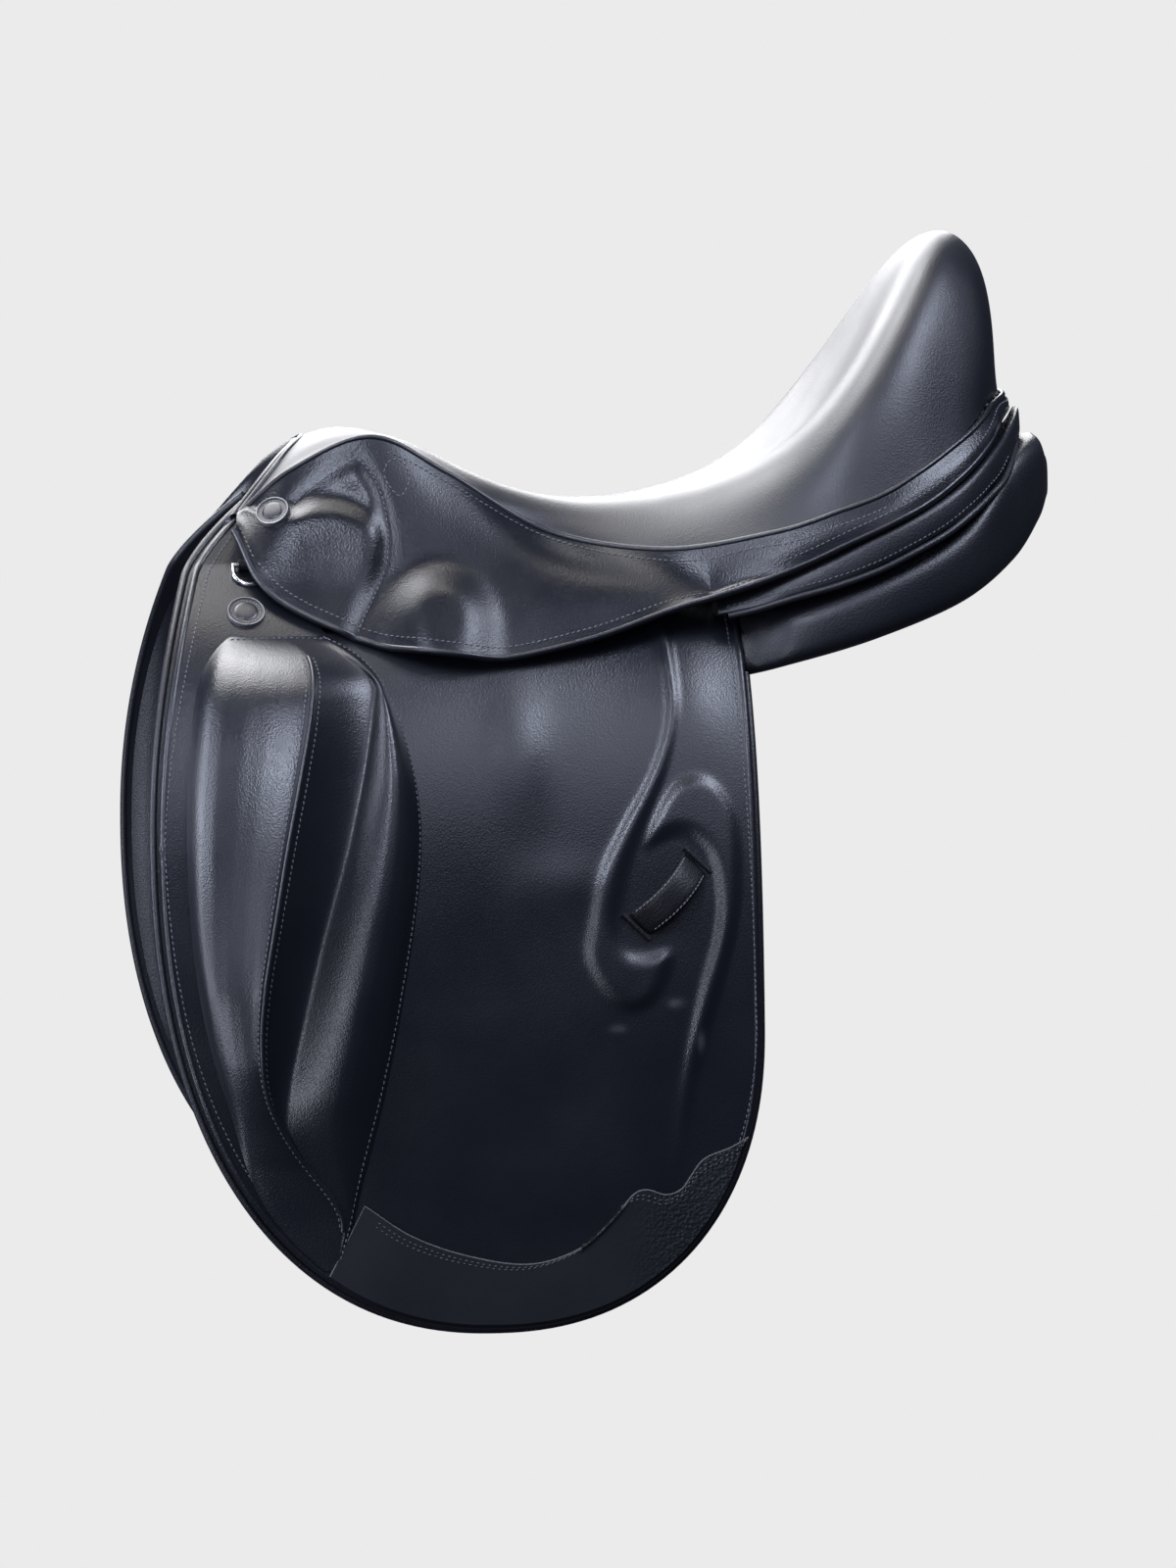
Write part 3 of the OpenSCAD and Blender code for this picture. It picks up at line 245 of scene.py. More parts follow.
def hermite(a, b, leave, arrive, t):
    t = t[..., None]
    return ((2 * t**3 - 3 * t**2 + 1) * a + (t**3 - 2 * t**2 + t) * leave
            + (3 * t**2 - 2 * t**3) * b + (t**3 - t**2) * arrive)

def seat_half(u, v):
    s, k, e = curve(seat_spine, u), curve(seat_crest, u), curve(seat_edge, u)
    turn = (e - s) / 2
    inner = hermite(s, k, k * np.array([0, 1, 0]), turn, np.clip(2 * v, 0, 1))
    outer = hermite(k, e, turn, e - k, np.clip(2 * v - 1, 0, 1))
    return np.where((v < 0.5)[..., None], inner, outer)

def seat_at(u, v):
    return seat_half(u, np.abs(v)) * np.stack([np.ones_like(v), np.sign(v), np.ones_like(v)], -1)

def face_normals(points):
    down = np.gradient(points, axis=0)
    side = np.gradient(points, axis=1)
    n = np.cross(side, down)
    return n / np.linalg.norm(n, axis=-1, keepdims=True)

u, v = np.meshgrid(np.linspace(0, seat_end, 170), np.linspace(-1, 1, 85), indexing="ij")
seat_points = seat_at(u, v)
bulge_out = face_normals(seat_points)
bulge_out *= np.where(bulge_out @ np.array([0, 0, 0.5]) + bulge_out[..., 1] * np.sign(v) < 0, -1, 1)[..., None]
low = np.clip(2 * np.abs(v) - 1, 0, 1)
full = np.sin(np.pi * low**0.75) - 0.75 * smooth((low - 0.5) / 0.35) * smooth((1 - low) / 0.12)
full *= smooth((u - 5) / 3) * smooth((seat_end - u) / 1.5) + 0.4 * smooth(u / 1.5) * smooth((6 - u) / 2)
seat_points = seat_points + 0.014 * full[..., None] * bulge_out
length, width = u[:, 1:-1, None], v[:, 1:-1, None]
ease = (0.06 + 0.19 * smooth((length - 4) / 3)) * smooth(length / 1.2) * smooth((seat_end - length) / 1.5)
ease = ease * (0.25 + 0.75 * smooth((1 - np.abs(width)) / 0.3))
for _ in range(150):
    seat_points[:, 1:-1] += ease * (seat_points[:, 2:] + seat_points[:, :-2] - 2 * seat_points[:, 1:-1])
seat_points = relax(seat_points, 130)
seat_calf = leather("seat_calf", (0.0058, 0.0066, 0.0108), (0.06, 0.06, 0.068), sheen=0.4, pores=1000.0, depth=0.0003,
                    coat=0.06)
seat = sheet("seat", seat_points, seat_thick, (0, 0, 1), seat_calf)
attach(seat, "saddle")
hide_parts("seat_cover", "seat_foam")

# A piped welt, calf rolled round a cord, is sewn between the seat and the skirts, down each side and round
# the back of the cantle. A thinner one closes the front of the pommel.
calf = leather("black_calf", (0.0058, 0.0066, 0.0108), (0.07, 0.07, 0.078), sheen=0.31, pores=1000.0, depth=0.0003,
               coat=0.1)
back_end = seat_end + 2
welt_radius, welt_reach, welt_sink = 0.0019, 0.00265, 0.0011
pommel_radius = 0.0016

def piping(name, path, radius, finish, around=3):
    line = bpy.data.curves.new(name, "CURVE")
    line.dimensions = "3D"
    line.bevel_depth = radius
    line.bevel_resolution = around
    line.use_fill_caps = True
    spline = line.splines.new("POLY")
    spline.points.add(len(path) - 1)
    spline.points.foreach_set("co", np.c_[path, np.ones(len(path))].ravel())
    piece = bpy.data.objects.new(name, line)
    bpy.context.collection.objects.link(piece)
    bpy.ops.object.select_all(action="DESELECT")
    piece.select_set(True)
    bpy.context.view_layer.objects.active = piece
    bpy.ops.object.convert(target="MESH")
    piece = bpy.context.object
    piece.data.materials.append(finish)
    bpy.ops.object.shade_smooth_by_angle(angle=math.radians(50))
    return piece

def edge_at(s):
    s = np.asarray(s, float)
    return seat_half(np.minimum(s, seat_end), np.where(s <= seat_end, 1.0, 1 - (s - seat_end) / 2))

def edge_out(s):
    way = edge_at(np.minimum(s + 0.1, back_end)) - edge_at(np.maximum(s - 0.1, 0))
    out = np.stack([-way[..., 1], way[..., 0], np.zeros_like(way[..., 0])], -1)
    return out / np.linalg.norm(out, axis=-1, keepdims=True)

def welt_at(s):
    return edge_at(s) + edge_out(s) * welt_reach - np.array([0, 0, welt_sink])

half = welt_at(np.linspace(0, back_end, 240))
welt = piping("seat_piping", np.concatenate([half, mirrored(half[-2::-1], -1)]), welt_radius, calf)
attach(welt, "saddle")
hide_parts("seat_welt")
front_roll = piping("pommel_piping", seat_points[0] + np.array([-0.0006, 0, -0.0006]), pommel_radius, calf)
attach(front_roll, "saddle")

# The head facing is a strip of calf folded over the front of the pommel arch, in front of the seat.
# It hides the nailed edges of seat, skirts and flaps.
facing_thick = 0.003
across = np.linspace(-1, 1, 61)
brow = seat_at(np.zeros_like(across), across)
drop = np.array([(-1.5, 0, -2.2), (-4.5, 0, -1.6), (-7.5, 0, -3.6), (-9.6, 0, -7), (-11, 0, -11),
                 (-12, 0, -18)]) / 1000
facing = np.stack([brow + curve(drop, np.full(len(across), k)) for k in np.linspace(0, len(drop) - 1, 26)], 0)
front = sheet("head_facing_strip", facing, facing_thick, (-1, 0, 0.6), calf)
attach(front, "saddle")
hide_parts("head_facing")

# Each skirt is one long piece of calf from the pommel, over the stirrup bar, to the waist and round the
# cantle. It is blocked over the bar and the thumb pad, has a rolled edge, and lifts on its fold.
skirt_calf = leather("skirt_calf", (0.0052, 0.006, 0.0098), (0.06, 0.06, 0.068), sheen=0.27, pores=1000.0,
                     depth=0.0003, coat=0.0, specular=0.36)
skirt_thick, skirt_roll = 0.004, 0.0021
sides = (("left", -1), ("right", 1))
skirt_edge = np.array([(-219, 82, 27), (-198, 107, -10), (-142, 129, -36), (-86, 139, -46), (-22, 137, -35),
                       (36, 134, -15), (96, 139, 4), (132, 142, 20), (158, 142, 32), (182, 135, 44), (203, 125, 59),
                       (217, 114, 71), (227, 102, 82), (234, 88, 92), (247, 48, 99), (252, 0, 102)]) / 1000
fold_start = np.array((-0.225, 0.092, 0.012))
fold_way = np.array((0.285, 0.036, -0.020))
fold_from, fold_long = -0.206, 0.260
skirt_first, skirt_last = 0.6, 5.3
almond = np.array([(-131.7, 60), (-129, 66), (-125.7, 68.5), (-121, 67.5), (-117.5, 63.5), (-116.4, 57.5),
                   (-118.2, 51.5), (-122.1, 46), (-126, 49.2), (-129.4, 54)])
peak_seam = np.array([(-184, 42), (-176, 49.5), (-166, 57), (-156, 64), (-147, 69.5), (-141.5, 64), (-136.5, 56.5),
                      (-132.8, 46.5), (-131.1, 37.4), (-130, 23.3), (-131.3, 10.4), (-134.6, 0.9), (-138.6, -7.4),
                      (-142.6, -15.1), (-146.4, -21.7), (-151, -31), (-157, -43)])

def fold_at(s):
    x = fold_from + fold_long * (s - skirt_first) / (skirt_last - skirt_first)
    return fold_start + fold_way * ((x - fold_start[0]) / fold_way[0])[..., None]

def line_distance(x, z, line):
    near = np.full(x.shape, 1e9)
    for (ax, az), (bx, bz) in zip(line[:-1], line[1:]):
        dx, dz = bx - ax, bz - az
        t = np.clip(((x - ax) * dx + (z - az) * dz) / (dx * dx + dz * dz), 0, 1)
        near = np.minimum(near, np.hypot(x - ax - t * dx, z - az - t * dz))
    return near

def inside(x, z, ring):
    odd = np.zeros(x.shape, bool)
    for (ax, az), (bx, bz) in zip(ring, np.roll(ring, -1, 0)):
        if az != bz:
            odd ^= ((az > z) != (bz > z)) & (x < (bx - ax) * (z - az) / (bz - az) + ax)
    return odd

def skirt_relief(x, z):
    bar = np.hypot((x + 102) / 37, np.where(z > -24, (z + 24) / 36, (z + 24) / 70))
    rise = 8.5 * (1 - smooth((bar - 0.25) / 0.8))
    pad = inside(x, z, np.concatenate([peak_seam, [(-175, -50), (-235, 0), (-225, 45), (-200, 36)]]))
    ridge_z = np.interp(x, (-206, -192, -176, -160, -148, -137), (27, 29.5, 32.5, 32.5, 29, 22))
    above = z - ridge_z
    ridge = np.where(above > 0, np.exp(-(above / 9)**2), np.exp(-(above / 30)**2)) * smooth((x + 214) / 34)
    dish = np.exp(-((above - 17) / 9)**2) * smooth((x + 192) / 22) * smooth((-136 - x) / 12)
    seam = line_distance(x, z, peak_seam)
    rise += np.where(pad, (3.2 * ridge - 2.8 * dish + 2.2) * smooth(seam / 11), 0)
    return (rise - 1.0 * np.exp(-(seam / 2.2)**2)) / 1000

def outward(points):
    lay = face_normals(points)
    return lay * np.where(lay[..., 1:2] < 0, -1, 1)

def cut_away(piece, unwanted):
    mesh = bmesh.new()
    mesh.from_mesh(piece.data)
    bmesh.ops.delete(mesh, geom=[f for f in mesh.faces if unwanted(f)], context="FACES")
    mesh.to_mesh(piece.data)
    mesh.free()

steps = np.linspace(0, 14.94, 330)
top = welt_at(steps) + edge_out(steps) * 0.0016 - np.array([0, 0, 0.0012])
low = curve(skirt_edge, steps)
fold_part = smooth((steps - 0.1) / 0.5) * smooth((6.2 - steps) / 0.9)
middle = (top + low) / 2 + edge_out(steps) * 0.001
middle = middle + fold_part[:, None] * (fold_at(np.clip(steps, skirt_first, skirt_last)) - middle)
middle[steps < skirt_first] = ((top + low) / 2)[steps < skirt_first]
across = np.linspace(0, 2, 53)
blank = np.stack([curve(np.stack([top, middle, low])[:, k], across) for k in range(len(steps))], 1)
blank = relax(blank, 6)
lay = outward(blank)
blank = blank + lay * skirt_relief(blank[..., 0] * 1000, blank[..., 2] * 1000)[..., None]
blank = relax(blank, 3)
fold_row = len(across) // 2
free = (steps >= skirt_first) & (steps <= skirt_last)
first, last = np.flatnonzero(free)[[0, -1]]
skirt_pieces = {}
for side_name, side in sides:
    points = mirrored(blank, side)
    lap_points = points[fold_row:, first:last + 1]
    free_part = sheet("skirt_lap_" + side_name, lap_points, skirt_thick, (0, side, 0), skirt_calf)
    fixed = sheet("skirt_yoke_" + side_name, points, 0, (0, side, 0), skirt_calf)
    lap = set(map(tuple, lap_points.reshape(-1, 3).astype(np.float32).tolist()))
    cut_away(fixed, lambda face: all(tuple(c.co) in lap for c in face.verts))
    walled(fixed, skirt_thick)
    for piece, body, node in ((free_part, "skirt_" + side_name, "skirt_" + side_name),
                              (fixed, "saddle", "skirt_band_" + side_name)):
        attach(piece, body)
        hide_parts(node)
    rim = points[-1] - mirrored(lay, side)[-1] * 0.0018
    for label, part, body in (("front", rim[:first + 1], "saddle"),
                              ("lap", rim[first:last + 1], "skirt_" + side_name),
                              ("rear", rim[last:], "saddle")):
        roll = piping(f"skirt_roll_{label}_{side_name}", part, skirt_roll, calf)
        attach(roll, body)
    skirt_pieces[side_name] = (free_part, fixed)

# The sewing is waxed black thread, a saddle stitch of about three and a half millimetres that leans a little.
# Each stitch is a short rounded piece of thread, sunk half into the hide.
bpy.ops.object.select_all(action="DESELECT")
bpy.ops.mesh.primitive_uv_sphere_add(segments=6, ring_count=4, radius=1)
bead = bpy.context.object
bead_points = np.empty(len(bead.data.vertices) * 3)
bead.data.vertices.foreach_get("co", bead_points)
bead_points = bead_points.reshape(-1, 3)
bead_faces = [tuple(f.vertices) for f in bead.data.polygons]
bpy.data.objects.remove(bead)
thread, tree, surface = finish_of("waxed_thread", (0.075, 0.078, 0.088), 0.55)
tinted(tree, surface, pattern(tree, "Noise", Scale=700.0), (0.05, 0.052, 0.06), (0.12, 0.124, 0.14))
half_wide, half_high, half_long = 0.00046, 0.00045, 0.00125
stitch_lean = 0.16

def run_along(path):
    return np.concatenate([[0], np.cumsum(np.linalg.norm(np.diff(path, axis=0), axis=1))])

def picked(path, run, spots):
    return np.stack([np.interp(spots, run, path[:, k]) for k in range(path.shape[1])], 1)

def stitches(name, rows, pitch=0.0034, size=1.0, finish=thread):
    corners, faces = [], []
    for path, out in rows:
        run = run_along(path)
        if run[-1] < pitch:
            continue
        spots = np.arange(pitch / 2, run[-1], pitch)
        up = picked(out, run, spots)
        up /= np.linalg.norm(up, axis=1, keepdims=True)
        way = picked(path, run, np.minimum(spots + 0.001, run[-1])) - picked(path, run, np.maximum(spots - 0.001, 0))
        way -= np.sum(way * up, 1, keepdims=True) * up
        way /= np.linalg.norm(way, axis=1, keepdims=True)
        over = np.cross(up, way)
        lean_way = way * math.cos(stitch_lean) + over * math.sin(stitch_lean)
        lean_over = over * math.cos(stitch_lean) - way * math.sin(stitch_lean)
        for p, a, b, c in zip(picked(path, run, spots), lean_way, lean_over, up):
            start = len(corners) * len(bead_points)
            bead_axes = np.stack([b * half_wide, c * half_high, a * half_long])
            corners.append(p + c * 0.0001 + bead_points @ bead_axes * size)
            faces += [tuple(start + k for k in f) for f in bead_faces]
    data = bpy.data.meshes.new(name)
    data.from_pydata(np.concatenate(corners).tolist(), [], faces)
    piece = bpy.data.objects.new(name, data)
    bpy.context.collection.objects.link(piece)
    mesh = bmesh.new()
    mesh.from_mesh(data)
    bmesh.ops.recalc_face_normals(mesh, faces=mesh.faces)
    mesh.to_mesh(data)
    mesh.free()
    data.polygons.foreach_set("use_smooth", np.ones(len(data.polygons), bool))
    data.materials.append(finish)
    return piece

def on_hide(pieces, line, side, per=3.0):
    line = np.asarray(line, float)
    run = run_along(line)
    found, out = [], []
    bpy.context.view_layer.update()
    for x, z in picked(line, run, np.linspace(0, run[-1], max(3, int(run[-1] / per)))):
        best = None
        for piece in pieces:
            hit, at, normal, _ = piece.ray_cast(Vector((x / 1000, side * 0.4, z / 1000)), Vector((0, -side, 0)))
            if hit and (best is None or side * at.y > side * best[0].y):
                best = (at.copy(), normal.copy())
        if best is not None:
            found.append(best[0])
            out.append(best[1])
    return np.array(found), np.array(out)

def lane(points, lay, gap, from_end):
    if from_end:
        points, lay = points[::-1], lay[::-1]
    k = np.arange(points.shape[1])
    run = np.concatenate([np.zeros((1, len(k))), np.cumsum(np.linalg.norm(np.diff(points, axis=0), axis=-1), axis=0)])
    place = np.array([np.interp(gap, run[:, c], np.arange(len(points))) for c in k])
    i = np.minimum(np.floor(place).astype(int), len(points) - 2)
    t = (place - i)[:, None]
    return points[i, k] * (1 - t) + points[i + 1, k] * t, lay[i, k]

def mirrored_rows(rows, side):
    return [(mirrored(points, side), mirrored(out, side)) for points, out in rows]

hem_gap, welt_gap = 0.0062, 0.0068
lay = outward(blank)
skirt_hem, hem_out = lane(blank, lay, hem_gap, True)
under_welt, welt_out = lane(blank, lay, welt_gap, False)
for side_name, side in sides:
    rows = mirrored_rows([(skirt_hem[first:last], hem_out[first:last])], side)
    on_lap = stitches("skirt_lap_stitching_" + side_name, rows)
    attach(on_lap, "skirt_" + side_name)
    seam_on, seam_out = on_hide(skirt_pieces[side_name], peak_seam, side)
    eye_on, eye_out = on_hide(skirt_pieces[side_name], np.concatenate([almond, almond[:1]]), side)
    split = np.array([p[2] < fold_start[2] + fold_way[2] * (p[0] - fold_start[0]) / fold_way[0] for p in seam_on])
    rows = mirrored_rows([(skirt_hem[2:first], hem_out[2:first]), (skirt_hem[last:-8], hem_out[last:-8]),
                          (under_welt[48:178], welt_out[48:178])], side)
    rows += [(eye_on, eye_out), (seam_on[~split], seam_out[~split])]
    yoke_sewing = stitches("skirt_yoke_stitching_" + side_name, rows)
    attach(yoke_sewing, "saddle")
    lap_seam = stitches("skirt_seam_stitching_" + side_name, [(seam_on[split], seam_out[split])])
    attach(lap_seam, "skirt_" + side_name)

# Each flap is five millimetre bridle butt faced with calf, cut straight for a long leg. Two scrolls are moulded
# in the face round the stirrup leather keeper, and the edge is bound with a rolled strip.
flap_thick, flap_roll = 0.005, 0.0025
flap_middle, front_start, rear_start = -78, -150, -256
front_wide, front_deep, rear_wide, rear_deep = 190, 274, 151, 168
corner_power = 2.25
flap_rear = flap_middle + rear_wide

def hang_y(z):
    return 0.194 - 0.112 * np.exp(np.minimum(z, 0.006) / 0.095) - 0.8 * np.maximum(0, z - 0.006)

def front_x(z):
    straight = flap_middle - front_wide
    return straight + 24 * (np.maximum(0, z - front_start) / -front_start)**2 + 16 * (np.maximum(0, z) / 34)**1.5

def flap_front(z):
    corner = (1 - np.clip((front_start - z) / front_deep, 0, 1)**corner_power)**(1 / corner_power)
    return np.where(z > front_start, front_x(z), flap_middle - front_wide * corner)

def flap_shape(grow, places, tops, rows, cols):
    a = np.linspace(0, math.pi / 2, cols // 2 + 1)
    power = 2 / corner_power
    front = np.stack([flap_middle - (front_wide + grow) * np.cos(a)**power,
                      front_start - (front_deep + grow) * np.sin(a)**power], -1)
    back = np.stack([flap_middle + (rear_wide + grow) * np.cos(a)**power,
                     rear_start - (rear_deep + grow) * np.sin(a)**power], -1)
    bottom = np.concatenate([front, back[-2::-1]])
    run = run_along(bottom)
    bottom = picked(bottom, run, np.linspace(0, run[-1], cols))
    c = np.linspace(0, 1, cols)
    t = np.linspace(0, 1, rows)[:, None]
    left, right = front_x(tops[0]) - grow, flap_rear + grow
    top = np.stack([left + (right - left) * c, np.interp(c, places, tops)], -1)
    shape = top * (1 - t)[..., None] + bottom * t[..., None]
    lean = front_x(shape[:, 0, 1]) - grow - shape[:, 0, 0]
    shape[..., 0] += lean[:, None] * ((1 - c)**5)[None, :]
    return shape

def hung(shape, out):
    x, z = shape[..., 0] / 1000, shape[..., 1] / 1000
    return np.stack([x, hang_y(z) + out, z], -1)

scroll_high = np.array([(23, -24), (25, -51), (26, -73), (22, -92), (12, -114), (-3, -138), (-18, -166), (-24, -193),
                        (-27, -212), (-22, -226), (-13, -238), (-3, -243), (8, -240), (16, -229), (20, -213),
                        (7, -214), (-3, -212), (-9, -203), (-10, -188), (-3, -160), (11, -130), (23, -103),
                        (30, -78), (31, -56), (29, -24)])
scroll_low = np.array([(10, -150), (14, -136), (26, -118), (39, -113), (51, -118), (60, -134), (62, -155),
                       (60, -189), (52, -222), (40, -260), (32, -294), (27, -330), (21, -332), (23, -310),
                       (29, -271), (38, -233), (47, -205), (50, -183), (47, -160), (38, -147), (26, -143)])

def flap_relief(x, z):
    rise = np.zeros(x.shape)
    for ring, high in ((scroll_high, 3.2), (scroll_low, 2.5 * smooth((z + 338) / 90) + 0.2)):
        ring = curve(np.concatenate([ring, ring[:1]]), np.linspace(0, len(ring), 6 * len(ring)))[:-1]
        depth = line_distance(x, z, np.concatenate([ring, ring[:1]]))
        depth = np.where(inside(x, z, ring), depth, -depth)
        rise = np.maximum(rise, high * smooth((depth + 3) / 8.5))
    dish = np.exp(-(np.hypot(x - 20, (z + 180) * 0.8) / 26)**2)
    wave = 1.1 * np.sin(x / 47 + z / 90) + 0.8 * np.sin(z / 61 - x / 38)
    swell = lambda at_x, at_z, wide, tall: np.exp(-((x - at_x) / wide)**2 - ((z - at_z) / tall)**2)
    wave += 2.4 * swell(-62, -100, 16, 34) + 1.8 * swell(-40, -172, 26, 16)
    wave += 2.2 * swell(40, -70, 26, 40)
    fade = smooth((z + 424) / 120) * smooth((flap_rear - x) / 40)
    return (rise - 1.2 * dish * (rise <= 0.3) + wave * fade) / 1000

flap_parts = {}
flap_top = ((0, 0.05, 0.1, 0.2, 0.3, 1), (36, 40, 36, 16, -2.5, -2.5))
flap_grid = (232, 194)
flap_inset, patch_inset = -2.6, -3.2
shape = flap_shape(flap_inset, *flap_top, *flap_grid)
flat = hung(shape, flap_thick)
flap_face = relax(flat + outward(flat) * flap_relief(shape[..., 0], shape[..., 1])[..., None], 3)
fold_line = fold_way / np.linalg.norm(fold_way)
down = np.array((0.0, 0.7, -0.72))
down -= (down @ fold_line) * fold_line
down /= np.linalg.norm(down)

def in_notch(face):
    middle = face.calc_center_median()
    return -0.170 < middle.x < -0.070 and middle.z > -0.031

for side_name, side in sides:
    flap = sheet("flap_" + side_name + "_hide", mirrored(flap_face, side), 0, (0, side, 0), calf)
    cut_away(flap, in_notch)
    walled(flap, flap_thick)
    flap_parts[side_name] = flap
    corners = np.empty(len(flap.data.vertices) * 3)
    flap.data.vertices.foreach_get("co", corners)
    corners = corners.reshape(-1, 3) * 1000
    rubbed = sum(np.exp(-np.hypot((corners[:, 0] - x) / a, (corners[:, 2] - z) / b)**2)
                 for x, z, a, b in ((24, -240, 4.5, 2.5), (-10, -254, 4, 2), (38, -262, 2, 5)))
    flap.data.attributes.new("wear", "FLOAT", "POINT").data.foreach_set("value", rubbed)
    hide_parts("flap_" + side_name, "flap_head_" + side_name)
    outline = np.concatenate([flap_face[:, 0], flap_face[-1, 1:-1], flap_face[::-1, -1]])
    binding = piping("flap_roll_" + side_name, mirrored(outline - np.array([0, 0.0022, 0]), side), flap_roll, calf)
    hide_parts("flap_binding_" + side_name)
    for piece in (flap, binding):
        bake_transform(piece)

# The knee block is a foam wedge under its own calf cover, sewn to the face of the flap along the front, over the
# top and down a long curved seam. A piped ridge stands in front of a hollow, with a second roll behind it.
block_thick, ridge_radius = 0.0022, 0.0013
block_top, block_brow, block_foot = -33, -70, -388
ridge_col, ridge_run = 36, slice(8, -8)
block_z = np.concatenate([np.linspace(block_top, block_brow, 28), np.linspace(block_brow, block_foot, 116)[1:]])
rounding = 1 - (1 - np.clip((block_top - block_z) / 50, 0, 1))**4
front_line = flap_front(block_z) + 15 - 9 * smooth((-290 - block_z) / 70) + 14 * (1 - rounding)
ridge_line = np.interp(-block_z, (33, 37, 42, 54, 81, 113, 150, 194, 226, 253, 275, 292, 308, 325, 345, 358, 388),
                       (-196, -186, -181, -180, -184, -191, -199, -207, -213, -215, -214, -210, -202, -191, -174,
                        -165, -172))
hollow_line = np.interp(-block_z, (33, 45, 58, 76, 109, 152, 201, 245, 283, 305, 325),
                        (-176, -158, -143, -146, -152, -163, -178, -189, -198, -201, -250))
hollow_line = np.maximum(ridge_line + 1, hollow_line)
seam_line = np.interp(-block_z, (33, 42, 55, 83, 115, 143, 170, 203, 252, 296, 329, 352, 388),
                      (-168, -152, -140, -128, -121, -119, -121, -126, -135, -145, -154, -160, -168))
seam_line = np.maximum(hollow_line + 1.5, seam_line)
for line in (ridge_line, hollow_line, seam_line):
    for _ in range(14):
        line[1:-1] += 0.5 * ((line[2:] + line[:-2]) / 2 - line[1:-1])
ridge_high = rounding * np.interp(-block_z, (33, 230, 270, 307, 330, 360, 388), (30, 30, 24, 12, 6, 3, 1))
hollow_high = rounding * np.interp(-block_z, (33, 60, 110, 200, 270, 307, 388), (15, 10, 7, 6, 6, 9, 0.8))
roll_high = rounding * np.interp(-block_z, (33, 58, 75, 110, 230, 290, 325, 360, 388),
                                 (15, 15, 17, 19, 18, 15, 9, 3, 0.6))
parts = []
for k, n in ((0, ridge_col), (1, 16), (2, 36)):
    t = np.linspace(0, 1, n + 1)[1 if k else 0:]
    a, b = ((front_line, ridge_line), (ridge_line, hollow_line), (hollow_line, seam_line))[k]
    x = a[:, None] + (b - a)[:, None] * t
    if k == 0:
        h = ridge_high[:, None] * np.interp(t, (0, 0.05, 0.12, 0.25, 0.45, 0.65, 0.82, 0.94, 1),
                                            (0, 0.19, 0.36, 0.53, 0.71, 0.85, 0.945, 0.99, 1))
    elif k == 1:
        h = hollow_high[:, None] + (ridge_high - hollow_high)[:, None] * (1 - t)**1.5
    else:
        shoulder = np.sin(np.pi / 2 * np.clip(t / 0.62, 0, 1))
        fall = np.interp(t, (0, 0.5, 0.62, 0.74, 0.86, 0.94, 1), (1, 1, 0.94, 0.77, 0.48, 0.22, 0.02))
        h = (hollow_high[:, None] * (1 - shoulder) + roll_high[:, None] * shoulder) * fall
    parts.append(np.stack([x, h + 0.5, np.broadcast_to(block_z[:, None], x.shape)], -1))
block = np.concatenate(parts, 1)
block_x, block_high, block_drop = np.moveaxis(block, -1, 0) / 1000
block_face = relax(np.stack([block_x, hang_y(block_drop) + flap_thick + block_high, block_drop], -1), 3)
block_out = outward(block_face)
block_rows = [lane(block_face.transpose(1, 0, 2), block_out.transpose(1, 0, 2), 0.0028, True),
              (block_face[ridge_run, ridge_col - 2], block_out[ridge_run, ridge_col - 2]),
              (block_face[ridge_run, ridge_col + 2], block_out[ridge_run, ridge_col + 2]),
              lane(block_face[:, 2:-2], block_out[:, 2:-2], 0.003, False)]
flap_out = outward(flap_face)
flap_rows = [lane(flap_face.transpose(1, 0, 2), flap_out.transpose(1, 0, 2), 0.0066, False),
             lane(flap_face.transpose(1, 0, 2), flap_out.transpose(1, 0, 2), 0.0056, True),
             lane(flap_face, flap_out, 0.0066, True)]
for side_name, side in sides:
    cover = sheet("knee_block_" + side_name, mirrored(block_face, side), block_thick, (0, side, 0), calf)
    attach(cover, "flap_" + side_name)
    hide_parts("knee_cover_" + side_name, "knee_core_" + side_name)
    ridge_path = mirrored(block_face[ridge_run, ridge_col] + block_out[ridge_run, ridge_col] * 0.0003, side)
    ridge_roll = piping("knee_block_piping_" + side_name, ridge_path, ridge_radius, calf)
    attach(ridge_roll, "flap_" + side_name)
    block_sewing = stitches("knee_block_stitching_" + side_name, mirrored_rows(block_rows, side))
    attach(block_sewing, "flap_" + side_name)
    flap_sewing = stitches("flap_stitching_" + side_name, mirrored_rows(flap_rows, side))
    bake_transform(flap_sewing)

# A wear patch of pebbled leather is sewn along the bottom of the flap, with a pale cut edge and two rows of
# stitches. Its upper edge waves up to the rear.
pebbled = leather("pebbled_leather", (0.0075, 0.0082, 0.0115), (0.06, 0.06, 0.065), sheen=0.44, pores=520.0,
                  depth=0.0009, coat=0.08)
tree = pebbled.node_tree
skin, raised, place = (next(n for n in tree.nodes if n.type == kind) for kind in ("GROUP", "BUMP", "TEX_COORD"))
axes = add_node(tree, "SeparateXYZ")
rear_end = add_node(tree, "MapRange", From_Min=-0.01, From_Max=0.03, To_Min=0.1, To_Max=2.0)
rear_end.interpolation_type = "SMOOTHSTEP"
pebbles = add_node(tree, "Math")
pebbles.operation = "MULTIPLY"
wire(tree, (place.outputs["Object"], axes.inputs[0]), (axes.outputs["X"], rear_end.inputs["Value"]),
     (rear_end.outputs["Result"], pebbles.inputs[0]), (skin.outputs["Height"], pebbles.inputs[1]),
     (pebbles.outputs[0], raised.inputs["Height"]))
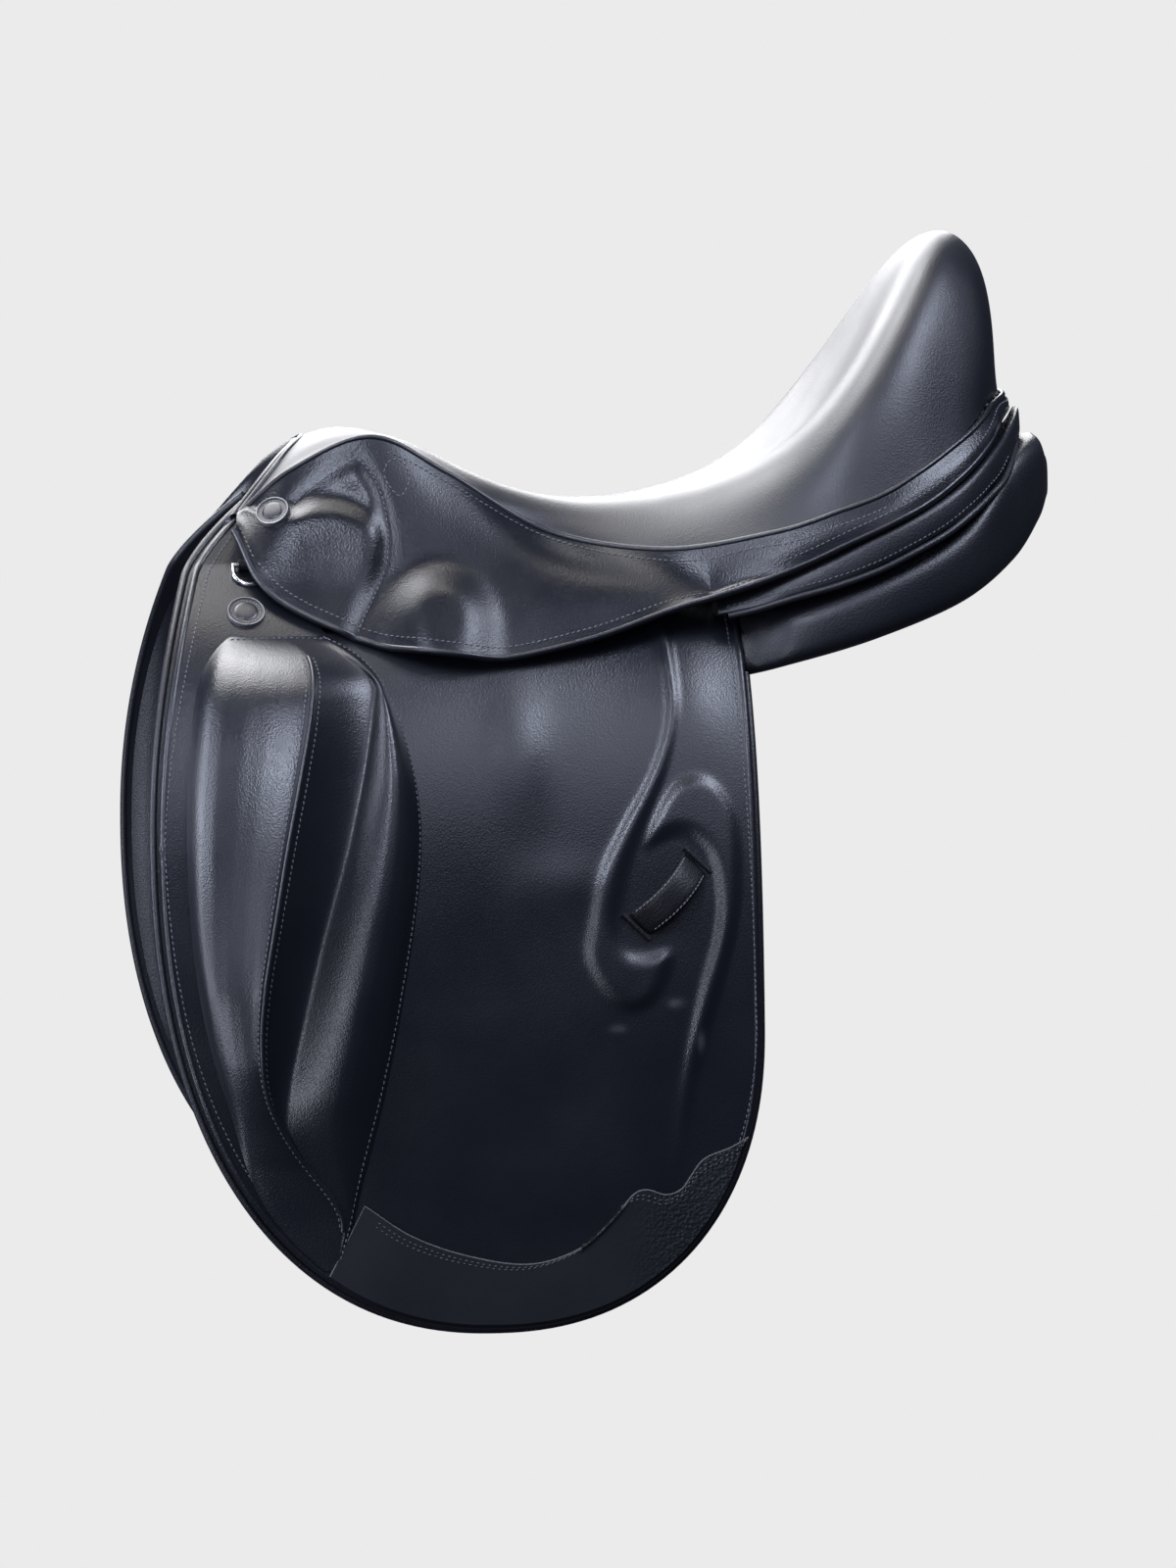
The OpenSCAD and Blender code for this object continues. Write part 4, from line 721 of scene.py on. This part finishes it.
patch_crest = np.array([(-155, -352), (-128, -370), (-95, -382), (-61, -387), (-33, -379), (-14, -363), (-2, -349),
                        (6, -346), (17, -349), (26, -346), (32, -338), (37, -331), (43, -327), (54, -323),
                        (65, -317)])
patch_cols, patch_thick, patch_stand, cut_radius = 130, 0.002, 0.0072, 0.0006
crest = curve(patch_crest, np.linspace(0, len(patch_crest) - 1, patch_cols))
outline = flap_shape(patch_inset, *flap_top, *flap_grid)
brim = np.concatenate([outline[-1], outline[::-1, -1]])
start, stop = (np.argmin(np.hypot(brim[:, 0] - x, brim[:, 1] - z)) for x, z in ((-172, -387), (68, -321)))
brim = brim[start:stop + 1]
run = run_along(brim)
brim = picked(brim, run, np.linspace(0, run[-1], patch_cols))
t = np.linspace(0, 1, 26)[:, None, None]
patch_face = hung(crest[None] * (1 - t) + brim[None] * t, patch_stand)
patch_out = outward(patch_face)
patch_rows = [lane(patch_face[:, 3:-3], patch_out[:, 3:-3], gap, False) for gap in (0.0032, 0.0058)]
pale_edge, tree, surface = finish_of("cut_edge", (0.16, 0.155, 0.15), 0.6)
tinted(tree, surface, pattern(tree, "Noise", Scale=300.0), (0.04, 0.04, 0.042), (0.11, 0.108, 0.105))
for side_name, side in sides:
    guard = sheet("wear_patch_" + side_name, mirrored(patch_face, side), patch_thick, (0, side, 0), pebbled)
    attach(guard, "flap_" + side_name)
    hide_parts("flap_patch_" + side_name)
    lip = np.concatenate([patch_face[::-1, 0], patch_face[0]]) - np.array([0, 0.0008, 0])
    cut = piping("wear_patch_edge_" + side_name, mirrored(lip, side), cut_radius, pale_edge, 2)
    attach(cut, "flap_" + side_name)
    patch_sewing = stitches("wear_patch_stitching_" + side_name, mirrored_rows(patch_rows, side), size=0.7)
    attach(patch_sewing, "flap_" + side_name)

# The keeper is a short loop of doubled strap leather, let through two slits in the flap, that holds the end of
# the stirrup leather.
strap = leather("strap_leather", (0.0055, 0.0058, 0.008), (0.07, 0.065, 0.06), sheen=0.45, pores=700.0, depth=0.0005,
                coat=0.0, specular=0.25)
keeper_z, keeper_half, keeper_thick = -0.178, 0.026, 0.003
slit_at, slit_half, slit_radius = 0.0262, 0.0105, 0.0013
tilt = math.atan((float(hang_y(keeper_z - 0.020)) - float(hang_y(keeper_z + 0.020))) / 0.040)
turn = math.radians(46)
long_way = np.array((math.cos(turn), 0, math.sin(turn)))
cross_way = np.array((-math.sin(turn), 0, math.cos(turn)))
lift = np.array((0, math.cos(tilt), math.sin(tilt)))
lean = np.array([[1, 0, 0], [0, math.cos(tilt), math.sin(tilt)], [0, -math.sin(tilt), math.cos(tilt)]])
centre = np.array((0.020, float(hang_y(keeper_z)) + flap_thick, keeper_z))
along = np.linspace(-keeper_half, keeper_half, 40)
wide = np.array((-0.0085, -0.0081, -0.0074, -0.004, 0, 0.004, 0.0074, 0.0081, 0.0085))
dome = np.array((-0.0016, -0.0005, 0, 0.0002, 0.0003, 0.0002, 0, -0.0005, -0.0016))
arch = 0.0112 - 0.0150 * np.abs(along / keeper_half)**2.2
bow = -0.0032 * (1 - (along / keeper_half)**2)
loop = np.stack([centre + (a * long_way + (wide + b)[:, None] * cross_way) @ lean + (h + dome)[:, None] * lift
                 for a, b, h in zip(along, bow, arch)])
loop_out = np.broadcast_to(lift, loop.shape)
loop_rows = [(loop[4:-4, k], loop_out[4:-4, k]) for k in (2, 6)]
for side_name, side in sides:
    keeper = sheet("stirrup_keeper_" + side_name, mirrored(loop, side), keeper_thick, (0, side, 0), strap)
    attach(keeper, "flap_" + side_name)
    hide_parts("keeper_" + side_name)
    for label, end in (("low", -slit_at), ("high", slit_at)):
        across = np.linspace(-slit_half, slit_half, 9)[:, None] * cross_way
        lip = centre + (end * long_way + across) @ lean - 0.0004 * lift
        slit = piping(f"keeper_slit_{label}_{side_name}", mirrored(lip, side), slit_radius, strap)
        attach(slit, "flap_" + side_name)
    keeper_sewing = stitches("stirrup_keeper_stitching_" + side_name, mirrored_rows(loop_rows, side), pitch=0.0028)
    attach(keeper_sewing, "flap_" + side_name)

# Nail badges close the ends of skirt and block: a satin ring and a row of dots round a dark domed centre, on a
# hidden nail. Dees of bright wire hang under the skirt in a leather chape.
skirt_badge_radius, flap_badge_radius = 0.0098, 0.0108
bright, tree, surface = finish_of("polished_plate", (0.62, 0.62, 0.63), 0.34, 1.0)
uneven(tree, surface, pattern(tree, "Noise", Scale=260.0, Detail=4.0), 0.14, 0.34)
satin, tree, surface = finish_of("satin_plate", (0.26, 0.26, 0.28), 0.56, 1.0)
uneven(tree, surface, pattern(tree, "Noise", Scale=260.0, Detail=4.0), 0.36, 0.56)
enamel, tree, surface = finish_of("dark_enamel", (0.012, 0.013, 0.018), 0.28)
uneven(tree, surface, pattern(tree, "Noise", Scale=500.0), 0.2, 0.42)
dress(bright, "dee_left", "dee_right")

def close_seam(turn_out=False):
    bpy.ops.object.mode_set(mode="EDIT")
    bpy.ops.mesh.select_all(action="SELECT")
    bpy.ops.mesh.remove_doubles(threshold=0.00002)
    if turn_out:
        bpy.ops.mesh.normals_make_consistent(inside=False)
    bpy.ops.object.mode_set(mode="OBJECT")

def nail_badge(name, at, out, radius, node, body):
    out = out / np.linalg.norm(out)
    side_way = np.cross(out, (0, 0, 1.0))
    side_way /= np.linalg.norm(side_way)
    up_way = np.cross(side_way, out)
    angle = np.linspace(0, 2 * np.pi, 49)
    spoke = np.cos(angle)[:, None] * side_way + np.sin(angle)[:, None] * up_way
    steps = np.array((0, 0.25, 0.5, 0.56, 0.6, 0.66, 0.88, 0.925, 0.945, 0.975, 1.0, 1.02))
    rise = np.array((2.1, 2.05, 1.9, 1.8, 1.5, 1.5, 1.5, 1.6, 2.1, 2.1, 1.6, -1.4)) / 1000
    rings = at + (radius * steps)[:, None, None] * spoke[None] + rise[:, None, None] * out
    plate = sheet(name, rings, 0, out, enamel)
    close_seam()
    plate.data.materials.append(satin)
    for face in plate.data.polygons:
        away = np.array(face.center) - at
        face.material_index = int(np.linalg.norm(away - out * (away @ out)) / radius > 0.92)
    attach(plate, body)
    if node:
        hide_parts(node)
    dot_row = (at + radius * 0.76 * spoke + 0.0015 * out, np.broadcast_to(out, spoke.shape))
    dots = stitches(name + "_milling", [dot_row], pitch=0.0019, size=0.42, finish=satin)
    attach(dots, body)

def corners_of(node):
    return np.array([v.co for v in nodes[node].data.vertices])

for side_name, side in sides:
    corners = corners_of("skirt_badges")
    spot = corners[corners[:, 1] * side > 0].mean(0) * 1000
    ring = [(spot[0] + 8 * math.cos(k), spot[2] + 8 * math.sin(k)) for k in np.linspace(0, 2 * np.pi, 25)]
    at, out = on_hide(skirt_pieces[side_name], ring, side)
    at, out = at.mean(0, keepdims=True) + 0.0016 * out.mean(0), out.mean(0, keepdims=True)
    nail_badge("skirt_badge_" + side_name, at[0], out[0], skirt_badge_radius, "skirt_badges" if side < 0 else None,
               "saddle")
    spot = corners_of("flap_badge_" + side_name).mean(0) * 1000
    line = [(spot[0] + step, spot[2]) for step in (-0.5, 0, 0.5)]
    at, out = on_hide((flap_parts[side_name],), line, side)
    nail_badge("flap_badge_plate_" + side_name, at[1], out[1], flap_badge_radius, "flap_badge_" + side_name,
               "flap_" + side_name)
dress(strap, "dee_chape_left", "dee_chape_right", "front_strap_left", "front_strap_right", "rear_strap_left",
      "rear_strap_right")

# The sweat flap lies against the horse under the girth straps. It is soft calf with a rolled edge, and carries a
# pocket for the point of the tree and the flat padding in front of the knee.
soft_calf = leather("soft_calf", (0.0075, 0.0082, 0.0125), (0.05, 0.05, 0.055), sheen=0.42, pores=800.0, depth=0.0004,
                    coat=0.06)
sweat_thick, sweat_roll, pad_thick = 0.004, 0.0026, 0.002
under_face = hung(flap_shape(2.5, (0, 0.05, 0.1, 0.18, 1), (46, 50, 42, -2, -2), 110, 110), -0.010)
pad_top, pad_foot = -14, -300
pad_z = np.linspace(pad_top, pad_foot, 90)
pad_front = flap_front(pad_z) + 2
t = np.linspace(0, 1, 34)
pad_x = pad_front[:, None] + (-122 - pad_front)[:, None] * t
pad_way = np.clip(0.03 + 0.94 * (pad_top - pad_z) / (pad_top - pad_foot), 0, 1)
crown = (np.sin(np.pi * t)**0.6)[None] * (np.sin(np.pi * pad_way)**0.6)[:, None]
pad_drop = np.broadcast_to(pad_z[:, None], pad_x.shape) / 1000
pad_face = np.stack([pad_x / 1000, hang_y(pad_drop) - 0.0142 - 0.021 * crown, pad_drop], -1)
for side_name, side in sides:
    lining = sheet("sweat_flap_hide_" + side_name, mirrored(under_face, side), sweat_thick, (0, side, 0), soft_calf)
    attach(lining, "saddle")
    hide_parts("sweat_flap_" + side_name)
    rim = np.concatenate([under_face[:, 0], under_face[-1, 1:-1], under_face[::-1, -1]]) - np.array([0, 0.002, 0])
    roll = piping("sweat_flap_roll_" + side_name, mirrored(rim, side), sweat_roll, soft_calf)
    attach(roll, "saddle")
    pad = sheet("knee_padding_" + side_name, mirrored(pad_face, side), pad_thick, (0, -side, 0), soft_calf)
    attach(pad, "saddle")
    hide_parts("knee_pad_" + side_name)
dress(soft_calf, "point_pockets", "gullet_lining")

# The panels are long soft calf cushions stuffed with wool that rest on the horse. Behind the flap each has a
# gusset roll above it, closed with a stitched piping, that fills the space under the cantle.
panel_rows = [(-224, (46, 4), (58, -2), (92, -58), (54, -30)), (-206, (40, 11), (66, -6), (112, -78), (46, -36)),
              (-120, (36, -1), (85, -13), (134.5, -84), (43, -40)), (-20, (35, -3), (85, -14), (133, -80), (41, -40)),
              (66, (35, 2), (104, -12), (128, -66), (40, -38)), (104, (35, 6), (134, -14), (138, -55), (41, -36)),
              (152, (36, 20), (139, 4), (140, -41), (42, -22)), (205, (36, 44), (126, 32), (126, -21), (42, 0)),
              (240, (33, 70), (99, 72), (101, 2), (38, 22)), (259, (32, 86), (79, 79), (82, 27), (36, 40)),
              (267, (42, 74), (64, 68), (66, 44), (42, 50))]
gusset_rows = [(58, (58, -6), (122, -12), (132, -24), (58, -14)), (84, (58, 2), (130, -4), (138, -20), (58, -8)),
               (100, (58, 9), (133, 4), (139, -15), (58, -4)), (128, (58, 20), (139, 17), (142, -8), (58, 7)),
               (152, (58, 31), (140, 30), (143, 2), (58, 19)), (180, (56, 43), (135, 43), (138, 16), (56, 32)),
               (207, (52, 60), (122, 60), (127, 32), (52, 46)), (228, (46, 76), (101, 78), (107, 53), (46, 60)),
               (244, (40, 90), (76, 93), (82, 70), (40, 74)), (252, (30, 99), (52, 99), (57, 82), (30, 82))]

def cushion(rows, steps, count, puff):
    flatrow = np.array([[r[0], *r[1], *r[2], *r[3], *r[4]] for r in rows], float)
    place = np.linspace(0, len(rows) - 1, steps)
    edges = [curve(flatrow[:, [0, k, k + 1]], place)[:, None] for k in (1, 3, 5, 7)]
    inner_top, outer_top, outer_low, inner_low = edges
    angle = np.linspace(0, 2 * np.pi, count)
    c, d = np.cos(angle), np.sin(angle)
    a = (0.5 + 0.5 * np.sign(c) * np.abs(c)**puff)[None, :, None]
    b = (0.5 + 0.5 * np.sign(d) * np.abs(d)**puff)[None, :, None]
    top = inner_top * (1 - a) + outer_top * a
    low = inner_low * (1 - a) + outer_low * a
    body = low * (1 - b) + top * b
    first_end, last_end = (np.broadcast_to(row.mean(0), row.shape)[None] for row in (body[0], body[-1]))
    return np.concatenate([first_end, body, last_end]) / 1000

def stuffed(name, points, side, finish):
    piece = sheet(name, mirrored(points, side), 0, (0, 0, 0), finish)
    close_seam(turn_out=True)
    bpy.ops.object.shade_smooth_by_angle(angle=math.radians(60))
    return piece

piping_radius = 0.0021
panel_points = cushion(panel_rows, 150, 65, 0.58)
gusset_points = cushion(gusset_rows, 90, 49, 0.5)
piping_line = np.array([(64, 131, -22), (80, 136, -18), (100, 139, -12), (125, 140, -5), (150, 141, 4), (171, 139, 14),
                        (192, 133, 25), (208, 125, 36), (222, 114, 47), (233, 103, 57), (244, 80, 74), (248, 62, 84)])
piping_line = curve(piping_line, np.linspace(0, len(piping_line) - 1, 130)) / 1000
for side_name, side in sides:
    panel = stuffed("panel_cushion_" + side_name, panel_points, side, soft_calf)
    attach(panel, "saddle")
    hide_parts("panel_" + side_name)
    gusset = stuffed("gusset_roll_" + side_name, gusset_points, side, soft_calf)
    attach(gusset, "saddle")
    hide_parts("rear_gusset_" + side_name)
    sewn, sewn_out = on_hide((gusset,), piping_line[:112, [0, 2]] * 1000 + np.array([-1.5, 5.0]), side)
    gusset_sewing = stitches("gusset_stitching_" + side_name, [(sewn, sewn_out)])
    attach(gusset_sewing, "saddle")
    rear_piping = piping("gusset_piping_" + side_name, mirrored(piping_line, side), piping_radius, soft_calf)
    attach(rear_piping, "saddle")

# The stage is one plain pale floor that runs up into a wall. Soft studio lamps stand all round it, the strongest
# behind, above and at the left. The camera has the photograph's angle and stands a little over three metres off.
bpy.ops.object.select_all(action="DESELECT")
bpy.ops.mesh.primitive_plane_add(size=14, location=(0, 0, -0.95))
floor = bpy.context.object
floor.name = "floor"
bpy.ops.object.mode_set(mode="EDIT")
bpy.ops.mesh.select_all(action="DESELECT")
bpy.ops.object.mode_set(mode="OBJECT")
for edge in floor.data.edges:
    edge.select = all(floor.data.vertices[k].co.y > 0 for k in edge.vertices)
bpy.ops.object.mode_set(mode="EDIT")
bpy.ops.mesh.extrude_region_move(TRANSFORM_OT_translate={"value": (0, 0, 9)})
bpy.ops.object.mode_set(mode="OBJECT")
paper_white = (0.83, 0.83, 0.83, 1)
pale = bpy.data.materials.new("pale_paper")
pale.use_nodes = True
tree = pale.node_tree
tree.nodes.remove(tree.nodes["Principled BSDF"])
glow = add_node(tree, "Emission", Color=paper_white)
wire(tree, (glow.outputs["Emission"], tree.nodes["Material Output"].inputs["Surface"]))
floor.data.materials.append(pale)
floor.visible_glossy = False
floor.visible_diffuse = False
floor.visible_shadow = False

world = bpy.context.scene.world or bpy.data.worlds.new("studio")
bpy.context.scene.world = world
world.use_nodes = True
tree = world.node_tree
room = tree.nodes["Background"]
room.inputs["Color"].default_value = (0.09, 0.10, 0.14, 1)
room.inputs["Strength"].default_value = 0.4
paper = add_node(tree, "Background", Color=paper_white)
seen = add_node(tree, "LightPath")
either = add_node(tree, "MixShader")
wire(tree, (seen.outputs["Is Camera Ray"], either.inputs["Fac"]), (room.outputs["Background"], either.inputs[1]),
     (paper.outputs["Background"], either.inputs[2]),
     (either.outputs["Shader"], tree.nodes["World Output"].inputs["Surface"]))
bpy.context.scene.view_settings.view_transform = "Standard"

neutral, cool, pale_blue, warm = (0.98, 0.98, 1.0), (0.76, 0.82, 1.0), (0.80, 0.85, 1.0), (1.0, 0.95, 0.88)
for name, place, aim, size, power, color in (
        ("back_softbox", (-0.15, 1.9, 1.15), (0.15, 0, 0.12), (2.2, 1.2), 55, neutral),
        ("top_left_softbox", (-0.74, 0.3, 1.66), (0.15, -0.03, 0.13), (1.2, 0.9), 34, neutral),
        ("high_back_softbox", (-0.25, 0.95, 1.75), (0.18, -0.03, 0.14), (1.6, 1.0), 22, neutral),
        ("high_front_softbox", (0.3, -1.48, 1.38), (-0.05, -0.16, -0.08), (0.6, 0.6), 4, cool),
        ("overhead_softbox", (-0.1, -0.2, 1.6), (-0.1, -0.12, 0), (0.5, 0.4), 3.8, warm),
        ("left_softbox", (-1.85, -0.46, 0.65), (-0.15, -0.2, -0.14), (0.75, 1.0), 25, cool),
        ("side_left_softbox", (-1.9, -0.1, -0.05), (-0.25, 0.1, -0.12), (0.4, 1.2), 10, pale_blue),
        ("low_left_softbox", (-1.2, -1.8, -0.15), (-0.2, -0.1, -0.15), (0.3, 1.1), 10, pale_blue),
        ("floor_left_softbox", (-1.75, -0.6, -0.75), (-0.27, 0.1, -0.15), (0.5, 0.5), 6, pale_blue),
        ("front_left_softbox", (-0.78, -1.55, 1.22), (-0.2, -0.21, -0.12), (0.4, 0.8), 21, cool),
        ("front_softbox", (0.26, -2.0, 1.09), (0, -0.17, -0.08), (0.8, 0.5), 2.6, cool),
        ("upper_right_softbox", (0.85, -0.85, 1.4), (0.045, -0.15, -0.07), (0.7, 0.6), 25, cool),
        ("right_softbox", (1.7, -0.05, 1.2), (0.22, -0.05, 0.13), (0.6, 0.6), 1.2, pale_blue)):
    light = bpy.data.lights.new(name, "AREA")
    light.shape = "RECTANGLE"
    light.size, light.size_y = size
    light.energy = power
    light.color = color
    lamp = bpy.data.objects.new(name, light)
    bpy.context.collection.objects.link(lamp)
    lamp.location = place
    lamp.rotation_euler = (Vector(aim) - Vector(place)).to_track_quat("-Z", "Y").to_euler()
    lamp.visible_camera = False

eye = bpy.data.cameras.new("camera")
eye.lens = 121.95
eye.sensor_width = 36
eye.sensor_fit = "AUTO"
camera = bpy.data.objects.new("camera", eye)
bpy.context.collection.objects.link(camera)
camera_far = 3.2
turn, rise = math.radians(-8), math.radians(4)
target = Vector((0, 0, -0.128))
toward = Vector((math.sin(turn) * math.cos(rise), -math.cos(turn) * math.cos(rise), math.sin(rise)))
camera.location = target + camera_far * toward
camera.rotation_euler = (target - camera.location).to_track_quat("-Z", "Y").to_euler()
bpy.context.scene.camera = camera
